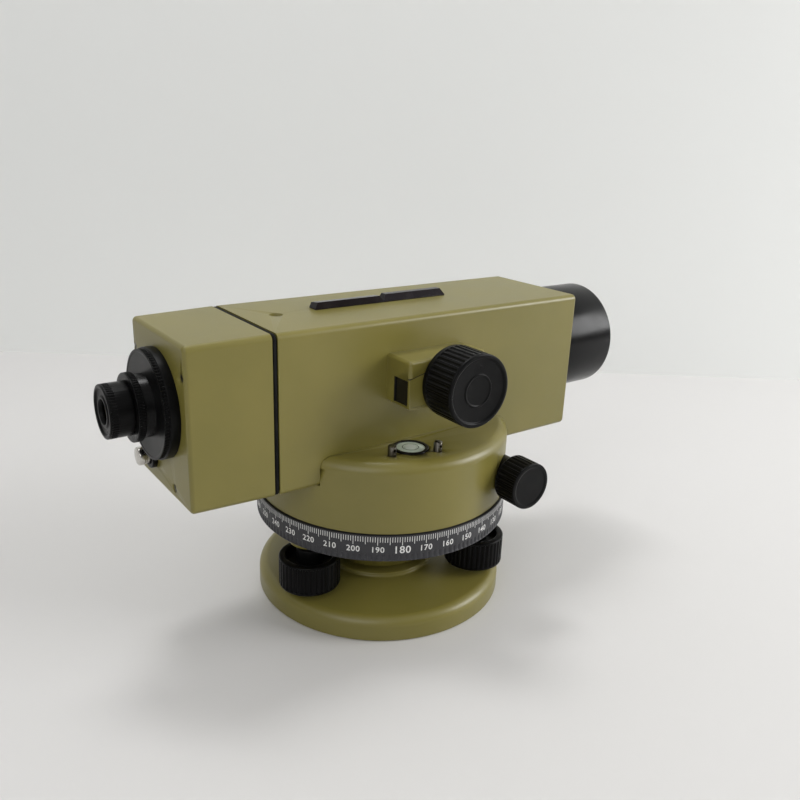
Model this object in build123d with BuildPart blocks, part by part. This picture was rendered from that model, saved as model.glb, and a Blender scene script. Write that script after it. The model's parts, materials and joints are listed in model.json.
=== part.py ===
"""Automatic level: a telescope housing on a round bearing housing, a graduated circle,
a three-screw tribrach and a round base plate.

Frame: +Z up, +X towards the objective, the knob side faces -Y. The origin is the centre of
the base plate's underside, on the vertical axis. All sizes are in millimetres.
"""

import os
from math import cos, pi, radians, sin

from build123d import *

# Clearances
running_gap = 0.05  # radial, a shaft in its bore
seat_gap = 0.3  # between faces that move past each other

# Base plate and tripod thread
base_radius = 60.0
base_thickness = 11.6
base_edge_fillet = 4.5
base_foot_chamfer = 0.8
boss_radius = 27.0
boss_rise = 3.0
recess_radius = 55.0
recess_depth = 1.8
tripod_bore_radius = 7.94
tripod_bore_length = 12.6
insert_wall = 4.0
insert_flange_width = 3.0
spring_plate_thickness = 1.2
spring_plate_hub_width = 10.0
spring_arm_width = 12.0
plate_screw_radius = 1.5
plate_screw_head_radius = 2.8
plate_screw_length = 6.0

# Foot screws
foot_count = 3
foot_circle_radius = 47.5
foot_phase = -167.3
ball_radius = 4.0
socket_clearance = 0.15
neck_radius = 2.6
neck_hole_radius = 3.6
foot_thread_radius = 4.0
foot_knob_radius = 14.1
foot_knob_height = 14.5
foot_knob_lift = 3.4
foot_knob_recess_radius = 11.0
foot_knob_recess_depth = 3.5
foot_knob_neck_radius = 6.0
foot_knob_neck_height = 7.5
foot_flutes = 36
flute_depth = 0.55
levelling_clearance = 1.3
foot_spindle_sink = 2.2

# Tribrach
hub_radius = 24.5
hub_lift = 2.4
tribrach_radius = 56.6
tribrach_top = 45.5
tribrach_rim_thickness = 6.0
tribrach_web_bottom = 33.0
foot_boss_radius = 9.0
foot_boss_height = 9.0
bush_wall = 3.0
journal_radius = 45.9
journal_height = 4.5

# Graduated circle
circle_radius = 60.4
circle_bottom = 40.8
circle_height = 12.0
circle_rim_width = 3.2
circle_web_thickness = 3.0
retaining_ring_width = 2.2
retaining_ring_thickness = 0.7

# Vertical spindle, clutch and worm wheel
spindle_seat_radius = 8.0
spindle_seat_length = 30.0
spindle_flange_radius = 14.0
spindle_flange_thickness = 2.0
spindle_radius = 10.0
spindle_length = 8.5
wheel_journal_radius = 8.0
wheel_journal_length = 10.5
wheel_hub_radius = 13.0
wheel_hub_height = 8.0
wheel_thickness = 5.0
wheel_teeth = 94
gear_module = 0.6
clutch_nut_radius = 12.0
clutch_nut_height = 2.0

# Bearing housing, the round dome under the telescope
dome_radius = 59.5
dome_gap = 0.5
dome_top = 85.0
dome_edge_fillet = 5.0
dome_wall = 4.2
dome_roof = 3.0
roof_opening_length = 92.0
roof_opening_width = 50.0
bearing_plate_thickness = 3.5
bearing_plate_inset = 0.2
sleeve_wall = 5.0
bearing_screw_circle = 50.0
bearing_boss_radius = 4.5

# Horizontal drive: worm shaft with a knob at each end
drive_x = 34.3
drive_z = 65.9
worm_radius = 5.3
worm_length = 26.0
drive_shaft_radius = 3.0
drive_bush_radius = 8.0
drive_bush_depth = 9.0
drive_knob_radius = 10.85
drive_knob_length = 12.0
drive_knob_back = 55.4
drive_knob_edge = 1.0
drive_flutes = 30

# Telescope housing
saddle_gap = 1.2
optical_rise = 38.3
housing_side_margin = 2.1
housing_top_margin = 2.5
housing_front = 95.25
gasket_centre = -71.5
gasket_thickness = 2.4
housing_edge_fillet = 2.5
housing_wall = 3.5
housing_front_wall = 4.0
top_hole_x = -56.0
top_hole_radius = 3.0
top_hole_depth = 2.2

# Eyepiece casing and its gasket
casing_rear = -107.3
casing_taper_width = 1.2
casing_taper_bottom = 0.5
casing_taper_top = 0.6
casing_wall = 3.5
casing_rear_wall = 4.0
casing_port_radius = 15.0
gasket_lip = 1.2
gasket_lip_inset = 0.25
gasket_groove = 0.9
gasket_ring_width = 3.0
casing_screw_left = -24.8
casing_screw_right = 25.5
casing_screw_low_left = -10.7
casing_screw_low_right = 24.5
casing_screw_drop = 12.9
casing_screw_rise_left = 5.4
casing_screw_rise_right = 12.3
casing_screw_radius = 1.9
casing_screw_sink = 1.0

# Objective
tube_radius = 27.1
tube_front = 128.3
tube_wall = 2.8
tube_seat_step = 1.6
tube_seat_length = 10.0
cell_front = 117.0
cell_length = 17.0
cell_wall = 2.3
lens_edge = 4.0
front_lens_bulge = 1.8
rear_lens_dish = 1.4
retaining_length = 2.5

# Focusing box, knob and shaft on the near side
box_left = -19.1
box_right = 21.8
box_below = 10.4
box_above = 10.5
box_depth = 16.2
box_edge = 1.4
cover_thickness = 1.2
cover_seam_low_drop = 7.5
cover_seam_high_drop = 2.0
window_rise = 1.3
window_height = 11.2
window_inset = 5.2
window_depth = 12.5
focus_x = 2.5
focus_rise = 4.6
focus_knob_radius = 15.85
focus_knob_front = 64.2
focus_knob_gap = 0.6
focus_knob_band = 2.6
focus_knob_edge = 0.8
focus_knob_dish = 0.7
focus_knob_rim = 2.0
focus_knob_boss_radius = 7.0
focus_flutes = 40
focus_shaft_radius = 3.0
focus_bush_wall = 3.0
pinion_radius = 3.0
pinion_width = 6.0
bush_reach = 1.0
pinion_gap = 0.7
rack_height = 5.0
rack_margin = 0.6
rack_arm_length = 6.0

# Focusing carriage
carriage_radius = 15.0
carriage_wall = 1.8
carriage_rear = 14.0
carriage_length = 30.0
focus_lens_edge = 2.0
focus_lens_dish = 1.2
focus_lens_middle = 1.6
rod_radius = 1.5
rod_spacing = 22.0
rod_gap = 5.5
rod_span = 58.0
rod_plate_thickness = 3.0
lug_width = 8.0
lug_length = 12.0

# Compensator
compensator_x = -40.0
compensator_length = 44.0
compensator_width = 34.0
compensator_side = 3.0
compensator_base = 3.0
compensator_headroom = 2.6
compensator_bridge = 3.0
pivot_drop = 5.0
pendulum_side = 2.0
pendulum_width = 27.0
pendulum_length = 12.0
pendulum_drop = 18.5
prism_height = 12.0
prism_length = 22.0
fixed_prism_size = 11.0
band_width = 2.0
band_thickness = 0.4
band_length = 5.0
vane_radius = 6.0
vane_thickness = 2.0
vane_stem_radius = 1.5
damper_clearance = 0.7
damper_wall = 1.5
damper_height = 7.0

# Eyepiece, reticle and check button
ring_thickness = 6.0
ring_radius = 22.4
ring_grip_radius = 21.9
ring_grip_width = 2.2
neck_outer_radius = 12.6
neck_length = 3.7
lock_ring_radius = 13.7
lock_ring_width = 3.0
barrel_radius = 10.7
barrel_rear = 129.6
eye_hole_radius = 4.6
barrel_wall = 1.6
ocular_radius = 7.6
ocular_length = 14.0
ocular_wall = 1.2
ocular_travel = 1.5
eye_lens_edge = 2.0
reticle_x = -84.0
reticle_radius = 9.0
reticle_glass_thickness = 1.5
button_y = 12.7
button_z = 84.2
button_head_radius = 3.9
button_head_length = 3.2
button_front = -114.0
button_stem_radius = 2.2
button_reach = 44.0
button_collar_radius = 5.9
button_collar_length = 2.1
button_guide_wall = 1.5
button_guide_length = 2.5
spring_wire = 0.7

# Open sight
sight_left = -37.2
sight_right = 33.8
sight_split = -1.4
sight_near = -0.3
sight_width = 5.4
sight_height = 3.2
sight_top_width = 2.2
sight_hip = 3.0

# Circular level on the dome
level_x = -12.9
level_gap = 2.4
level_radius = 8.0
level_glass_radius = 6.4
level_proud = 0.6
level_depth = 9.0
level_floor = 1.5
level_screw_circle = 11.9
level_screw_radius = 1.9
level_screw_height = 4.3
level_screw_hole = 0.65
level_screw_depth = 6.0

# Heights and places that follow from the sizes above
boss_top = base_thickness + boss_rise
ball_height = recess_depth + 0.2 + ball_radius
foot_knob_bottom = base_thickness + foot_knob_lift
foot_knob_top = foot_knob_bottom + foot_knob_height
hub_bottom = boss_top + hub_lift
journal_top = tribrach_top + journal_height
web_bottom = tribrach_top + 0.5
flange_top = journal_top + spindle_flange_thickness
sleeve_bottom = flange_top + seat_gap
spindle_shoulder = flange_top + spindle_length
spindle_top = spindle_shoulder + wheel_journal_length
dome_bottom = circle_bottom + circle_height + dome_gap
bearing_plate_bottom = dome_bottom + bearing_plate_inset
bearing_plate_top = bearing_plate_bottom + bearing_plate_thickness
dome_bore_radius = dome_radius - dome_wall
wheel_radius = wheel_teeth * gear_module / 2 + gear_module
housing_bottom = spindle_top + saddle_gap
optical_height = housing_bottom + optical_rise
housing_half_width = tube_radius + housing_side_margin
housing_top = optical_height + tube_radius + housing_top_margin
housing_floor = housing_bottom + housing_wall
tube_seat_radius = tube_radius - tube_seat_step
gasket_front = gasket_centre + gasket_thickness / 2
gasket_rear = gasket_centre - gasket_thickness / 2
foot_angles = [foot_phase + 360 / foot_count * index for index in range(foot_count)]
foot_places = [
    (foot_circle_radius * cos(radians(angle)), foot_circle_radius * sin(radians(angle)))
    for angle in foot_angles
]
casing_screw_places = (
    (casing_screw_left, housing_top - casing_screw_drop),
    (casing_screw_right, housing_top - casing_screw_drop),
    (casing_screw_low_left, housing_bottom + casing_screw_rise_left),
    (casing_screw_low_right, housing_bottom + casing_screw_rise_right),
)
focus_z = optical_height + focus_rise
box_bottom = focus_z - box_below
box_top = focus_z + box_above
cover_seam_low = box_top - cover_seam_low_drop
cover_seam_high = box_top - cover_seam_high_drop
window_bottom = box_bottom + window_rise
window_top = window_bottom + window_height
window_back = housing_half_width + window_inset
bush_end = housing_half_width - housing_wall - bush_reach
rack_inner = bush_end - pinion_gap - pinion_width
rod_height = optical_height - carriage_radius - rod_gap
rod_plate_width = rod_spacing + lug_width
compensator_top = housing_top - housing_wall - compensator_headroom
pivot_height = compensator_top - pivot_drop
pendulum_floor = optical_height - pendulum_drop
level_y = -(housing_half_width + level_gap + level_radius)
box_outer = housing_half_width + box_depth
focus_knob_back = box_outer + focus_knob_gap
focus_travel = pi * pinion_radius
ring_front = casing_rear - ring_thickness
neck_end = ring_front - neck_length
lock_ring_end = neck_end - lock_ring_width
level_screw_angles = foot_angles[:2]

os.makedirs("parts", exist_ok=True)


def write(part, label):
    """Names one finished piece and writes its STEP file."""
    part.label = label
    export_step(part, f"parts/{label}.step")


def fluted_outline(plane, radius, flutes, depth):
    """The outline of a knob's rim: a circle with round grooves and narrow lands between."""
    groove_radius = 0.72 * pi * radius / flutes
    with BuildSketch(plane) as outline:
        Circle(radius)
        with PolarLocations(radius + groove_radius - depth, flutes):
            Circle(groove_radius, mode=Mode.SUBTRACT)
    return outline.sketch


def disc(plane, radius, bore=0.0):
    """A round face on a plane, with an optional round hole."""
    with BuildSketch(plane) as face:
        Circle(radius)
        if bore > 0:
            Circle(bore, mode=Mode.SUBTRACT)
    return face.sketch


def foot_pattern(height, radius):
    """One circle at each foot screw, at the given height."""
    with BuildSketch(Plane.XY.offset(height)) as circles:
        with PolarLocations(foot_circle_radius, foot_count, start_angle=foot_phase):
            Circle(radius)
    return circles.sketch


def across(y):
    """A plane that faces -Y at the given y, with local x along +X and local y along +Z."""
    return Plane(origin=(0, y, 0), x_dir=(1, 0, 0), z_dir=(0, -1, 0))


def along(x):
    """A plane that faces +X at the given x, with local x along +Y and local y along +Z."""
    return Plane(origin=(x, 0, 0), x_dir=(0, 1, 0), z_dir=(1, 0, 0))


def optical(x):
    """The same plane with its origin on the optical axis."""
    return Plane(origin=(x, 0, optical_height), x_dir=(0, 1, 0), z_dir=(1, 0, 0))


def curve_radius(aperture, rise):
    """The radius of a spherical face that rises by the given amount at a round aperture."""
    return (aperture**2 + rise**2) / (2 * rise)


# Base plate: round plate with a central boss, three ball sockets and a recess below
plate_screw_circle = tripod_bore_radius + insert_wall + spring_plate_hub_width
plate_screw_phase = foot_phase + 180 / foot_count
with BuildPart() as base_plate:
    extrude(disc(Plane.XY, base_radius), amount=base_thickness)
    fillet(base_plate.edges().group_by(Axis.Z)[-1], base_edge_fillet)
    chamfer(base_plate.edges().group_by(Axis.Z)[0], base_foot_chamfer)
    extrude(disc(Plane.XY.offset(base_thickness), boss_radius), amount=boss_rise)
    fillet(base_plate.edges().group_by(Axis.Z)[-1], boss_rise / 4)
    extrude(disc(Plane.XY, recess_radius), amount=recess_depth, mode=Mode.SUBTRACT)
    extrude(
        disc(Plane.XY, tripod_bore_radius + insert_wall),
        amount=tripod_bore_length,
        mode=Mode.SUBTRACT,
    )
    extrude(
        foot_pattern(0, ball_radius + socket_clearance),
        amount=ball_height + ball_radius / 2,
        mode=Mode.SUBTRACT,
    )
    extrude(foot_pattern(0, neck_hole_radius), amount=base_thickness, mode=Mode.SUBTRACT)
    with BuildSketch():
        with PolarLocations(plate_screw_circle, foot_count, start_angle=plate_screw_phase):
            Circle(plate_screw_radius)
    extrude(amount=recess_depth + plate_screw_length, mode=Mode.SUBTRACT)
write(base_plate.part, "base_plate")

# Tripod insert: flanged bush with the bore of the tripod screw
with BuildPart() as tripod_insert:
    extrude(
        disc(Plane.XY, tripod_bore_radius + insert_wall + insert_flange_width, tripod_bore_radius),
        amount=recess_depth,
    )
    extrude(
        disc(Plane.XY, tripod_bore_radius + insert_wall, tripod_bore_radius),
        amount=tripod_bore_length,
    )
write(tripod_insert.part, "tripod_insert")

# Spring plate: three arms that hold the ball feet up in their sockets
plate_bottom = recess_depth - spring_plate_thickness
with BuildPart() as spring_plate:
    with BuildSketch(Plane.XY.offset(plate_bottom)):
        Circle(plate_screw_circle + plate_screw_head_radius + 1)
        for angle in foot_angles:
            with Locations(Location((0, 0, 0), (0, 0, angle))):
                Rectangle(
                    foot_circle_radius, spring_arm_width, align=(Align.MIN, Align.CENTER)
                )
        with PolarLocations(foot_circle_radius, foot_count, start_angle=foot_phase):
            Circle(ball_radius + 2)
        Circle(tripod_bore_radius + insert_wall + insert_flange_width + seat_gap, mode=Mode.SUBTRACT)
        with PolarLocations(plate_screw_circle, foot_count, start_angle=plate_screw_phase):
            Circle(plate_screw_radius, mode=Mode.SUBTRACT)
    extrude(amount=spring_plate_thickness)
write(spring_plate.part, "spring_plate")

with BuildPart() as spring_plate_screws:
    with BuildSketch(Plane.XY.offset(plate_bottom)):
        with PolarLocations(plate_screw_circle, foot_count, start_angle=plate_screw_phase):
            Circle(plate_screw_radius)
    extrude(amount=spring_plate_thickness + plate_screw_length)
    with BuildSketch(Plane.XY.offset(plate_bottom)):
        with PolarLocations(plate_screw_circle, foot_count, start_angle=plate_screw_phase):
            Circle(plate_screw_head_radius)
    extrude(amount=-plate_bottom / 2)
write(spring_plate_screws.part, "spring_plate_screws")

# Foot screws: ball foot and threaded spindle, with a fluted knob pressed on
for number, (foot_x, foot_y) in enumerate(foot_places, start=1):
    foot_plane = Plane((foot_x, foot_y, 0))
    with BuildPart() as foot_spindle:
        with Locations((foot_x, foot_y, ball_height)):
            Sphere(ball_radius)
        extrude(
            disc(foot_plane.offset(ball_height), neck_radius),
            amount=foot_knob_bottom - ball_height,
        )
        extrude(
            disc(foot_plane.offset(foot_knob_bottom), foot_thread_radius),
            amount=tribrach_top - foot_spindle_sink - foot_knob_bottom,
        )
    write(foot_spindle.part, f"foot_spindle_{number}")

    with BuildPart() as foot_knob:
        extrude(
            fluted_outline(
                foot_plane.offset(foot_knob_bottom), foot_knob_radius, foot_flutes, flute_depth
            ),
            amount=foot_knob_height,
        )
        extrude(
            disc(foot_plane.offset(foot_knob_top), foot_knob_recess_radius),
            amount=-foot_knob_recess_depth,
            mode=Mode.SUBTRACT,
        )
        extrude(
            disc(foot_plane.offset(foot_knob_top - foot_knob_recess_depth), foot_knob_neck_radius),
            amount=foot_knob_neck_height,
        )
        extrude(
            disc(foot_plane.offset(foot_knob_bottom), foot_thread_radius),
            amount=foot_knob_height + foot_knob_neck_height,
            mode=Mode.SUBTRACT,
        )
    write(foot_knob.part, f"foot_knob_{number}")

# Tribrach: hub, dished web and rim, with a boss for each foot screw
with BuildPart() as tribrach:
    with BuildSketch(Plane.XZ):
        with BuildLine():
            Polyline(
                (spindle_seat_radius, hub_bottom),
                (hub_radius, hub_bottom),
                (hub_radius, tribrach_web_bottom),
                (tribrach_radius, tribrach_top - tribrach_rim_thickness),
                (tribrach_radius, tribrach_top),
                (journal_radius, tribrach_top),
                (journal_radius, journal_top),
                (spindle_seat_radius, journal_top),
                close=True,
            )
        make_face()
    revolve(axis=Axis.Z)
    extrude(foot_pattern(tribrach_top - foot_boss_height, foot_boss_radius), amount=foot_boss_height)
    extrude(
        foot_pattern(tribrach_web_bottom, foot_thread_radius + bush_wall),
        amount=tribrach_top - tribrach_web_bottom,
        mode=Mode.SUBTRACT,
    )
write(tribrach.part, "tribrach")

# Foot bushes: two run close on their screws, the third leaves room for the tilt
with BuildPart() as foot_bushes:
    for number, place in enumerate(foot_places, start=1):
        clearance = levelling_clearance if number == foot_count else running_gap
        with BuildSketch(Plane.XY.offset(tribrach_top - foot_boss_height)):
            with Locations(place):
                Circle(foot_thread_radius + bush_wall)
                Circle(foot_thread_radius + clearance, mode=Mode.SUBTRACT)
    extrude(amount=foot_boss_height)
write(foot_bushes.part, "foot_bushes")

# Graduated circle: a rim on a thin web that turns on the tribrach's journal
with BuildPart() as graduated_circle:
    extrude(
        disc(Plane.XY.offset(circle_bottom), circle_radius, circle_radius - circle_rim_width),
        amount=circle_height,
    )
    extrude(
        disc(
            Plane.XY.offset(web_bottom),
            circle_radius - circle_rim_width,
            journal_radius + running_gap,
        ),
        amount=circle_web_thickness,
    )
write(graduated_circle.part, "graduated_circle")

with BuildPart() as circle_retaining_ring:
    extrude(
        disc(
            Plane.XY.offset(web_bottom + circle_web_thickness + seat_gap),
            journal_radius + retaining_ring_width,
            journal_radius,
        ),
        amount=retaining_ring_thickness,
    )
write(circle_retaining_ring.part, "circle_retaining_ring")

# Vertical spindle: seated in the tribrach, it carries the bearing sleeve and the worm wheel
with BuildPart() as vertical_spindle:
    with BuildSketch(Plane.XZ):
        with BuildLine():
            Polyline(
                (0, journal_top - spindle_seat_length),
                (spindle_seat_radius, journal_top - spindle_seat_length),
                (spindle_seat_radius, journal_top),
                (spindle_flange_radius, journal_top),
                (spindle_flange_radius, flange_top),
                (spindle_radius, flange_top),
                (spindle_radius, spindle_shoulder),
                (wheel_journal_radius, spindle_shoulder),
                (wheel_journal_radius, spindle_top),
                (0, spindle_top),
                close=True,
            )
        make_face()
    revolve(axis=Axis.Z)
write(vertical_spindle.part, "vertical_spindle")

wheel_bottom = spindle_shoulder + seat_gap
with BuildPart() as worm_wheel:
    extrude(
        disc(Plane.XY.offset(wheel_bottom), wheel_hub_radius, wheel_journal_radius + running_gap),
        amount=wheel_hub_height,
    )
    extrude(
        disc(
            Plane.XY.offset(drive_z - wheel_thickness / 2),
            wheel_radius,
            wheel_journal_radius + running_gap,
        ),
        amount=wheel_thickness,
    )
write(worm_wheel.part, "worm_wheel")

with BuildPart() as clutch_nut:
    extrude(
        disc(
            Plane.XY.offset(wheel_bottom + wheel_hub_height + seat_gap),
            clutch_nut_radius,
            wheel_journal_radius,
        ),
        amount=clutch_nut_height,
    )
write(clutch_nut.part, "clutch_nut")

# Bearing plate: closes the dome from below and carries the sleeve round the spindle
with BuildPart() as bearing_plate:
    extrude(
        disc(Plane.XY.offset(bearing_plate_bottom), dome_bore_radius, spindle_radius + running_gap),
        amount=bearing_plate_thickness,
    )
    extrude(
        disc(
            Plane.XY.offset(sleeve_bottom),
            spindle_radius + running_gap + sleeve_wall,
            spindle_radius + running_gap,
        ),
        amount=spindle_shoulder - seat_gap - sleeve_bottom,
    )
    with BuildSketch(Plane.XY.offset(bearing_plate_bottom)):
        with PolarLocations(bearing_screw_circle, 4):
            Circle(plate_screw_radius)
    extrude(amount=bearing_plate_thickness, mode=Mode.SUBTRACT)
write(bearing_plate.part, "bearing_plate")

with BuildPart() as bearing_plate_screws:
    with BuildSketch(Plane.XY.offset(bearing_plate_bottom)):
        with PolarLocations(bearing_screw_circle, 4):
            Circle(plate_screw_radius)
    extrude(amount=bearing_plate_thickness + plate_screw_length)
    with BuildSketch(Plane.XY.offset(bearing_plate_bottom)):
        with PolarLocations(bearing_screw_circle, 4):
            Circle(plate_screw_head_radius)
    extrude(amount=-plate_screw_radius)
write(bearing_plate_screws.part, "bearing_plate_screws")

# Bearing housing: round dome, open below, with a saddle cut across it for the telescope
dome_roof_bottom = housing_bottom - dome_roof
with BuildPart() as bearing_housing:
    extrude(disc(Plane.XY.offset(dome_bottom), dome_radius), amount=dome_top - dome_bottom)
    fillet(bearing_housing.edges().group_by(Axis.Z)[-1], dome_edge_fillet)
    with BuildSketch(Plane.XY.offset(housing_bottom)):
        Rectangle(2 * dome_radius + 2, 2 * housing_half_width)
    extrude(amount=dome_top - housing_bottom, mode=Mode.SUBTRACT)
    extrude(
        disc(Plane.XY.offset(dome_bottom), dome_bore_radius),
        amount=dome_roof_bottom - dome_bottom,
        mode=Mode.SUBTRACT,
    )
    with BuildSketch(Plane.XY.offset(dome_roof_bottom)):
        Rectangle(roof_opening_length, roof_opening_width)
    extrude(amount=dome_roof, mode=Mode.SUBTRACT)
    with BuildSketch(Plane.XY.offset(bearing_plate_top)):
        with PolarLocations(bearing_screw_circle, 4):
            Circle(bearing_boss_radius)
    extrude(amount=dome_roof_bottom - bearing_plate_top)
    with BuildSketch(Plane.XY.offset(bearing_plate_top)):
        with PolarLocations(bearing_screw_circle, 4):
            Circle(plate_screw_radius)
    extrude(amount=plate_screw_length, mode=Mode.SUBTRACT)
    with BuildSketch(Plane.XZ):
        with Locations((drive_x, drive_z)):
            Circle(drive_bush_radius)
    extrude(amount=dome_radius, both=True, mode=Mode.SUBTRACT)
    with BuildSketch(Plane.XY.offset(dome_top)):
        with Locations((level_x, level_y)):
            Circle(level_radius)
    extrude(amount=-level_depth, mode=Mode.SUBTRACT)
    with BuildSketch(Plane.XY.offset(dome_top)):
        with Locations((level_x, level_y)):
            for angle in level_screw_angles:
                with Locations(
                    (
                        level_screw_circle * cos(radians(angle)),
                        level_screw_circle * sin(radians(angle)),
                    )
                ):
                    Circle(level_screw_radius)
    extrude(amount=-level_screw_depth, mode=Mode.SUBTRACT)
write(bearing_housing.part, "bearing_housing")

# Horizontal drive: worm shaft across the dome, a bush and a fluted knob at each end
knob_front = drive_knob_back + drive_knob_length
with BuildPart() as worm_shaft:
    with BuildSketch(across(worm_length / 2)):
        with Locations((drive_x, drive_z)):
            Circle(worm_radius)
    extrude(amount=worm_length)
    with BuildSketch(across(knob_front - drive_knob_edge - 1)):
        with Locations((drive_x, drive_z)):
            Circle(drive_shaft_radius)
    extrude(amount=2 * (knob_front - drive_knob_edge - 1))
write(worm_shaft.part, "worm_shaft")

bush_inner = drive_knob_back - seat_gap - drive_bush_depth - dome_wall
with BuildPart() as drive_bushes:
    for side in (-1, 1):
        with BuildSketch(across(-side * bush_inner)):
            with Locations((drive_x, drive_z)):
                Circle(drive_bush_radius)
                Circle(drive_shaft_radius + running_gap, mode=Mode.SUBTRACT)
        extrude(amount=side * (drive_knob_back - seat_gap - bush_inner))
write(drive_bushes.part, "drive_bushes")

with BuildPart() as drive_knobs:
    for side in (-1, 1):
        knob_plane = Plane(
            origin=(drive_x, side * drive_knob_back, drive_z), x_dir=(1, 0, 0), z_dir=(0, side, 0)
        )
        extrude(
            fluted_outline(knob_plane, drive_knob_radius, drive_flutes, flute_depth),
            amount=drive_knob_length - drive_knob_edge,
        )
        extrude(
            disc(knob_plane.offset(drive_knob_length - drive_knob_edge), drive_knob_radius),
            amount=drive_knob_edge,
        )
    for end_face in (drive_knobs.faces().sort_by(Axis.Y)[0], drive_knobs.faces().sort_by(Axis.Y)[-1]):
        chamfer(end_face.edges(), drive_knob_edge * 0.9)
    for side in (-1, 1):
        knob_plane = Plane(
            origin=(drive_x, side * drive_knob_back, drive_z), x_dir=(1, 0, 0), z_dir=(0, side, 0)
        )
        extrude(
            disc(knob_plane, drive_shaft_radius),
            amount=drive_knob_length - drive_knob_edge - 1,
            mode=Mode.SUBTRACT,
        )
write(drive_knobs.part, "drive_knobs")

# Telescope housing: long box with rounded edges, open at the rear, bored at the front
housing_length = housing_front - gasket_front
housing_height = housing_top - housing_bottom
housing_middle = (housing_top + housing_bottom) / 2
rod_start = carriage_rear + (carriage_length - rod_span) / 2
with BuildPart() as telescope_housing:
    with BuildSketch(along(gasket_front)):
        with Locations((0, housing_middle)):
            Rectangle(2 * housing_half_width, housing_height)
    extrude(amount=housing_length)
    fillet(telescope_housing.edges().filter_by(Axis.X), housing_edge_fillet)
    fillet(telescope_housing.faces().sort_by(Axis.X)[-1].edges(), housing_edge_fillet * 0.7)
    with BuildSketch(along(gasket_front)):
        with Locations((0, housing_middle)):
            Rectangle(2 * (housing_half_width - housing_wall), housing_height - 2 * housing_wall)
    extrude(amount=housing_length - housing_front_wall, mode=Mode.SUBTRACT)
    extrude(
        disc(optical(housing_front), tube_seat_radius),
        amount=-housing_front_wall - 1,
        mode=Mode.SUBTRACT,
    )
    with BuildSketch(across(-housing_half_width)):
        with Locations((focus_x, focus_z)):
            Circle(focus_shaft_radius + focus_bush_wall)
    extrude(amount=-housing_wall - 1, mode=Mode.SUBTRACT)
    with BuildSketch(Plane.XY.offset(housing_top)):
        with Locations((top_hole_x, 0)):
            Circle(top_hole_radius)
    extrude(amount=-top_hole_depth, mode=Mode.SUBTRACT)
    for rib_start in (rod_start, rod_start + rod_span - rod_plate_thickness):
        with BuildSketch(along(rib_start)):
            with Locations((0, housing_floor - 1)):
                Rectangle(
                    rod_plate_width,
                    rod_height + 2 * rod_radius + 1 - housing_floor,
                    align=(Align.CENTER, Align.MIN),
                )
            with Locations((-rod_spacing / 2, rod_height), (rod_spacing / 2, rod_height)):
                Circle(rod_radius, mode=Mode.SUBTRACT)
        extrude(amount=rod_plate_thickness)
write(telescope_housing.part, "telescope_housing")

# Gasket: a flat frame between the two casings with a narrow lip in the joint
with BuildPart() as housing_gasket:
    with BuildSketch(along(gasket_rear)):
        with Locations((0, housing_middle)):
            RectangleRounded(
                2 * (housing_half_width - gasket_groove),
                housing_height - 2 * gasket_groove,
                housing_edge_fillet,
            )
            Rectangle(
                2 * (housing_half_width - gasket_ring_width),
                housing_height - 2 * gasket_ring_width,
                mode=Mode.SUBTRACT,
            )
    extrude(amount=gasket_thickness)
    with BuildSketch(along(gasket_centre - gasket_lip / 2)):
        with Locations((0, housing_middle)):
            RectangleRounded(
                2 * (housing_half_width - gasket_lip_inset),
                housing_height - 2 * gasket_lip_inset,
                housing_edge_fillet,
            )
            Rectangle(
                2 * (housing_half_width - gasket_ring_width),
                housing_height - 2 * gasket_ring_width,
                mode=Mode.SUBTRACT,
            )
    extrude(amount=gasket_lip)
write(housing_gasket.part, "housing_gasket")

# Eyepiece casing: box that narrows a little to the rear, open towards the gasket
rear_height = housing_height - casing_taper_top - casing_taper_bottom
rear_middle = housing_middle + (casing_taper_bottom - casing_taper_top) / 2
guide_start = casing_rear + casing_rear_wall
button_plane = Plane(origin=(0, button_y, button_z), x_dir=(0, 1, 0), z_dir=(1, 0, 0))
with BuildPart() as eyepiece_casing:
    with BuildSketch(along(casing_rear)):
        with Locations((0, rear_middle)):
            Rectangle(2 * (housing_half_width - casing_taper_width), rear_height)
    with BuildSketch(along(gasket_rear)):
        with Locations((0, housing_middle)):
            Rectangle(2 * housing_half_width, housing_height)
    loft()
    long_edges = eyepiece_casing.edges().filter_by(
        lambda edge: abs(edge.center().X - (casing_rear + gasket_rear) / 2) < 1
    )
    fillet(long_edges, housing_edge_fillet)
    fillet(eyepiece_casing.faces().sort_by(Axis.X)[0].edges(), housing_edge_fillet * 0.7)
    with BuildSketch(along(gasket_rear)):
        with Locations((0, housing_middle)):
            Rectangle(2 * (housing_half_width - casing_wall), housing_height - 2 * casing_wall)
    with BuildSketch(along(casing_rear + casing_rear_wall)):
        with Locations((0, rear_middle)):
            Rectangle(
                2 * (housing_half_width - casing_taper_width - casing_wall),
                rear_height - 2 * casing_wall,
            )
    loft(mode=Mode.SUBTRACT)
    extrude(
        disc(optical(casing_rear), casing_port_radius),
        amount=casing_rear_wall + 1,
        mode=Mode.SUBTRACT,
    )
    extrude(
        disc(button_plane.offset(casing_rear), button_head_radius + seat_gap),
        amount=casing_rear_wall,
        mode=Mode.SUBTRACT,
    )
    extrude(
        disc(
            button_plane.offset(guide_start),
            button_head_radius + seat_gap + button_guide_wall,
            button_stem_radius + running_gap,
        ),
        amount=button_guide_length,
    )
    with BuildSketch(along(casing_rear)):
        with Locations(*casing_screw_places):
            Circle(casing_screw_radius)
    extrude(amount=casing_rear_wall - casing_screw_sink / 2, mode=Mode.SUBTRACT)
write(eyepiece_casing.part, "eyepiece_casing")

with BuildPart() as casing_screws:
    with BuildSketch(along(casing_rear + casing_screw_sink)):
        with Locations(*casing_screw_places):
            Circle(casing_screw_radius)
    extrude(amount=casing_rear_wall - 1.5 * casing_screw_sink)
write(casing_screws.part, "casing_screws")

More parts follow.
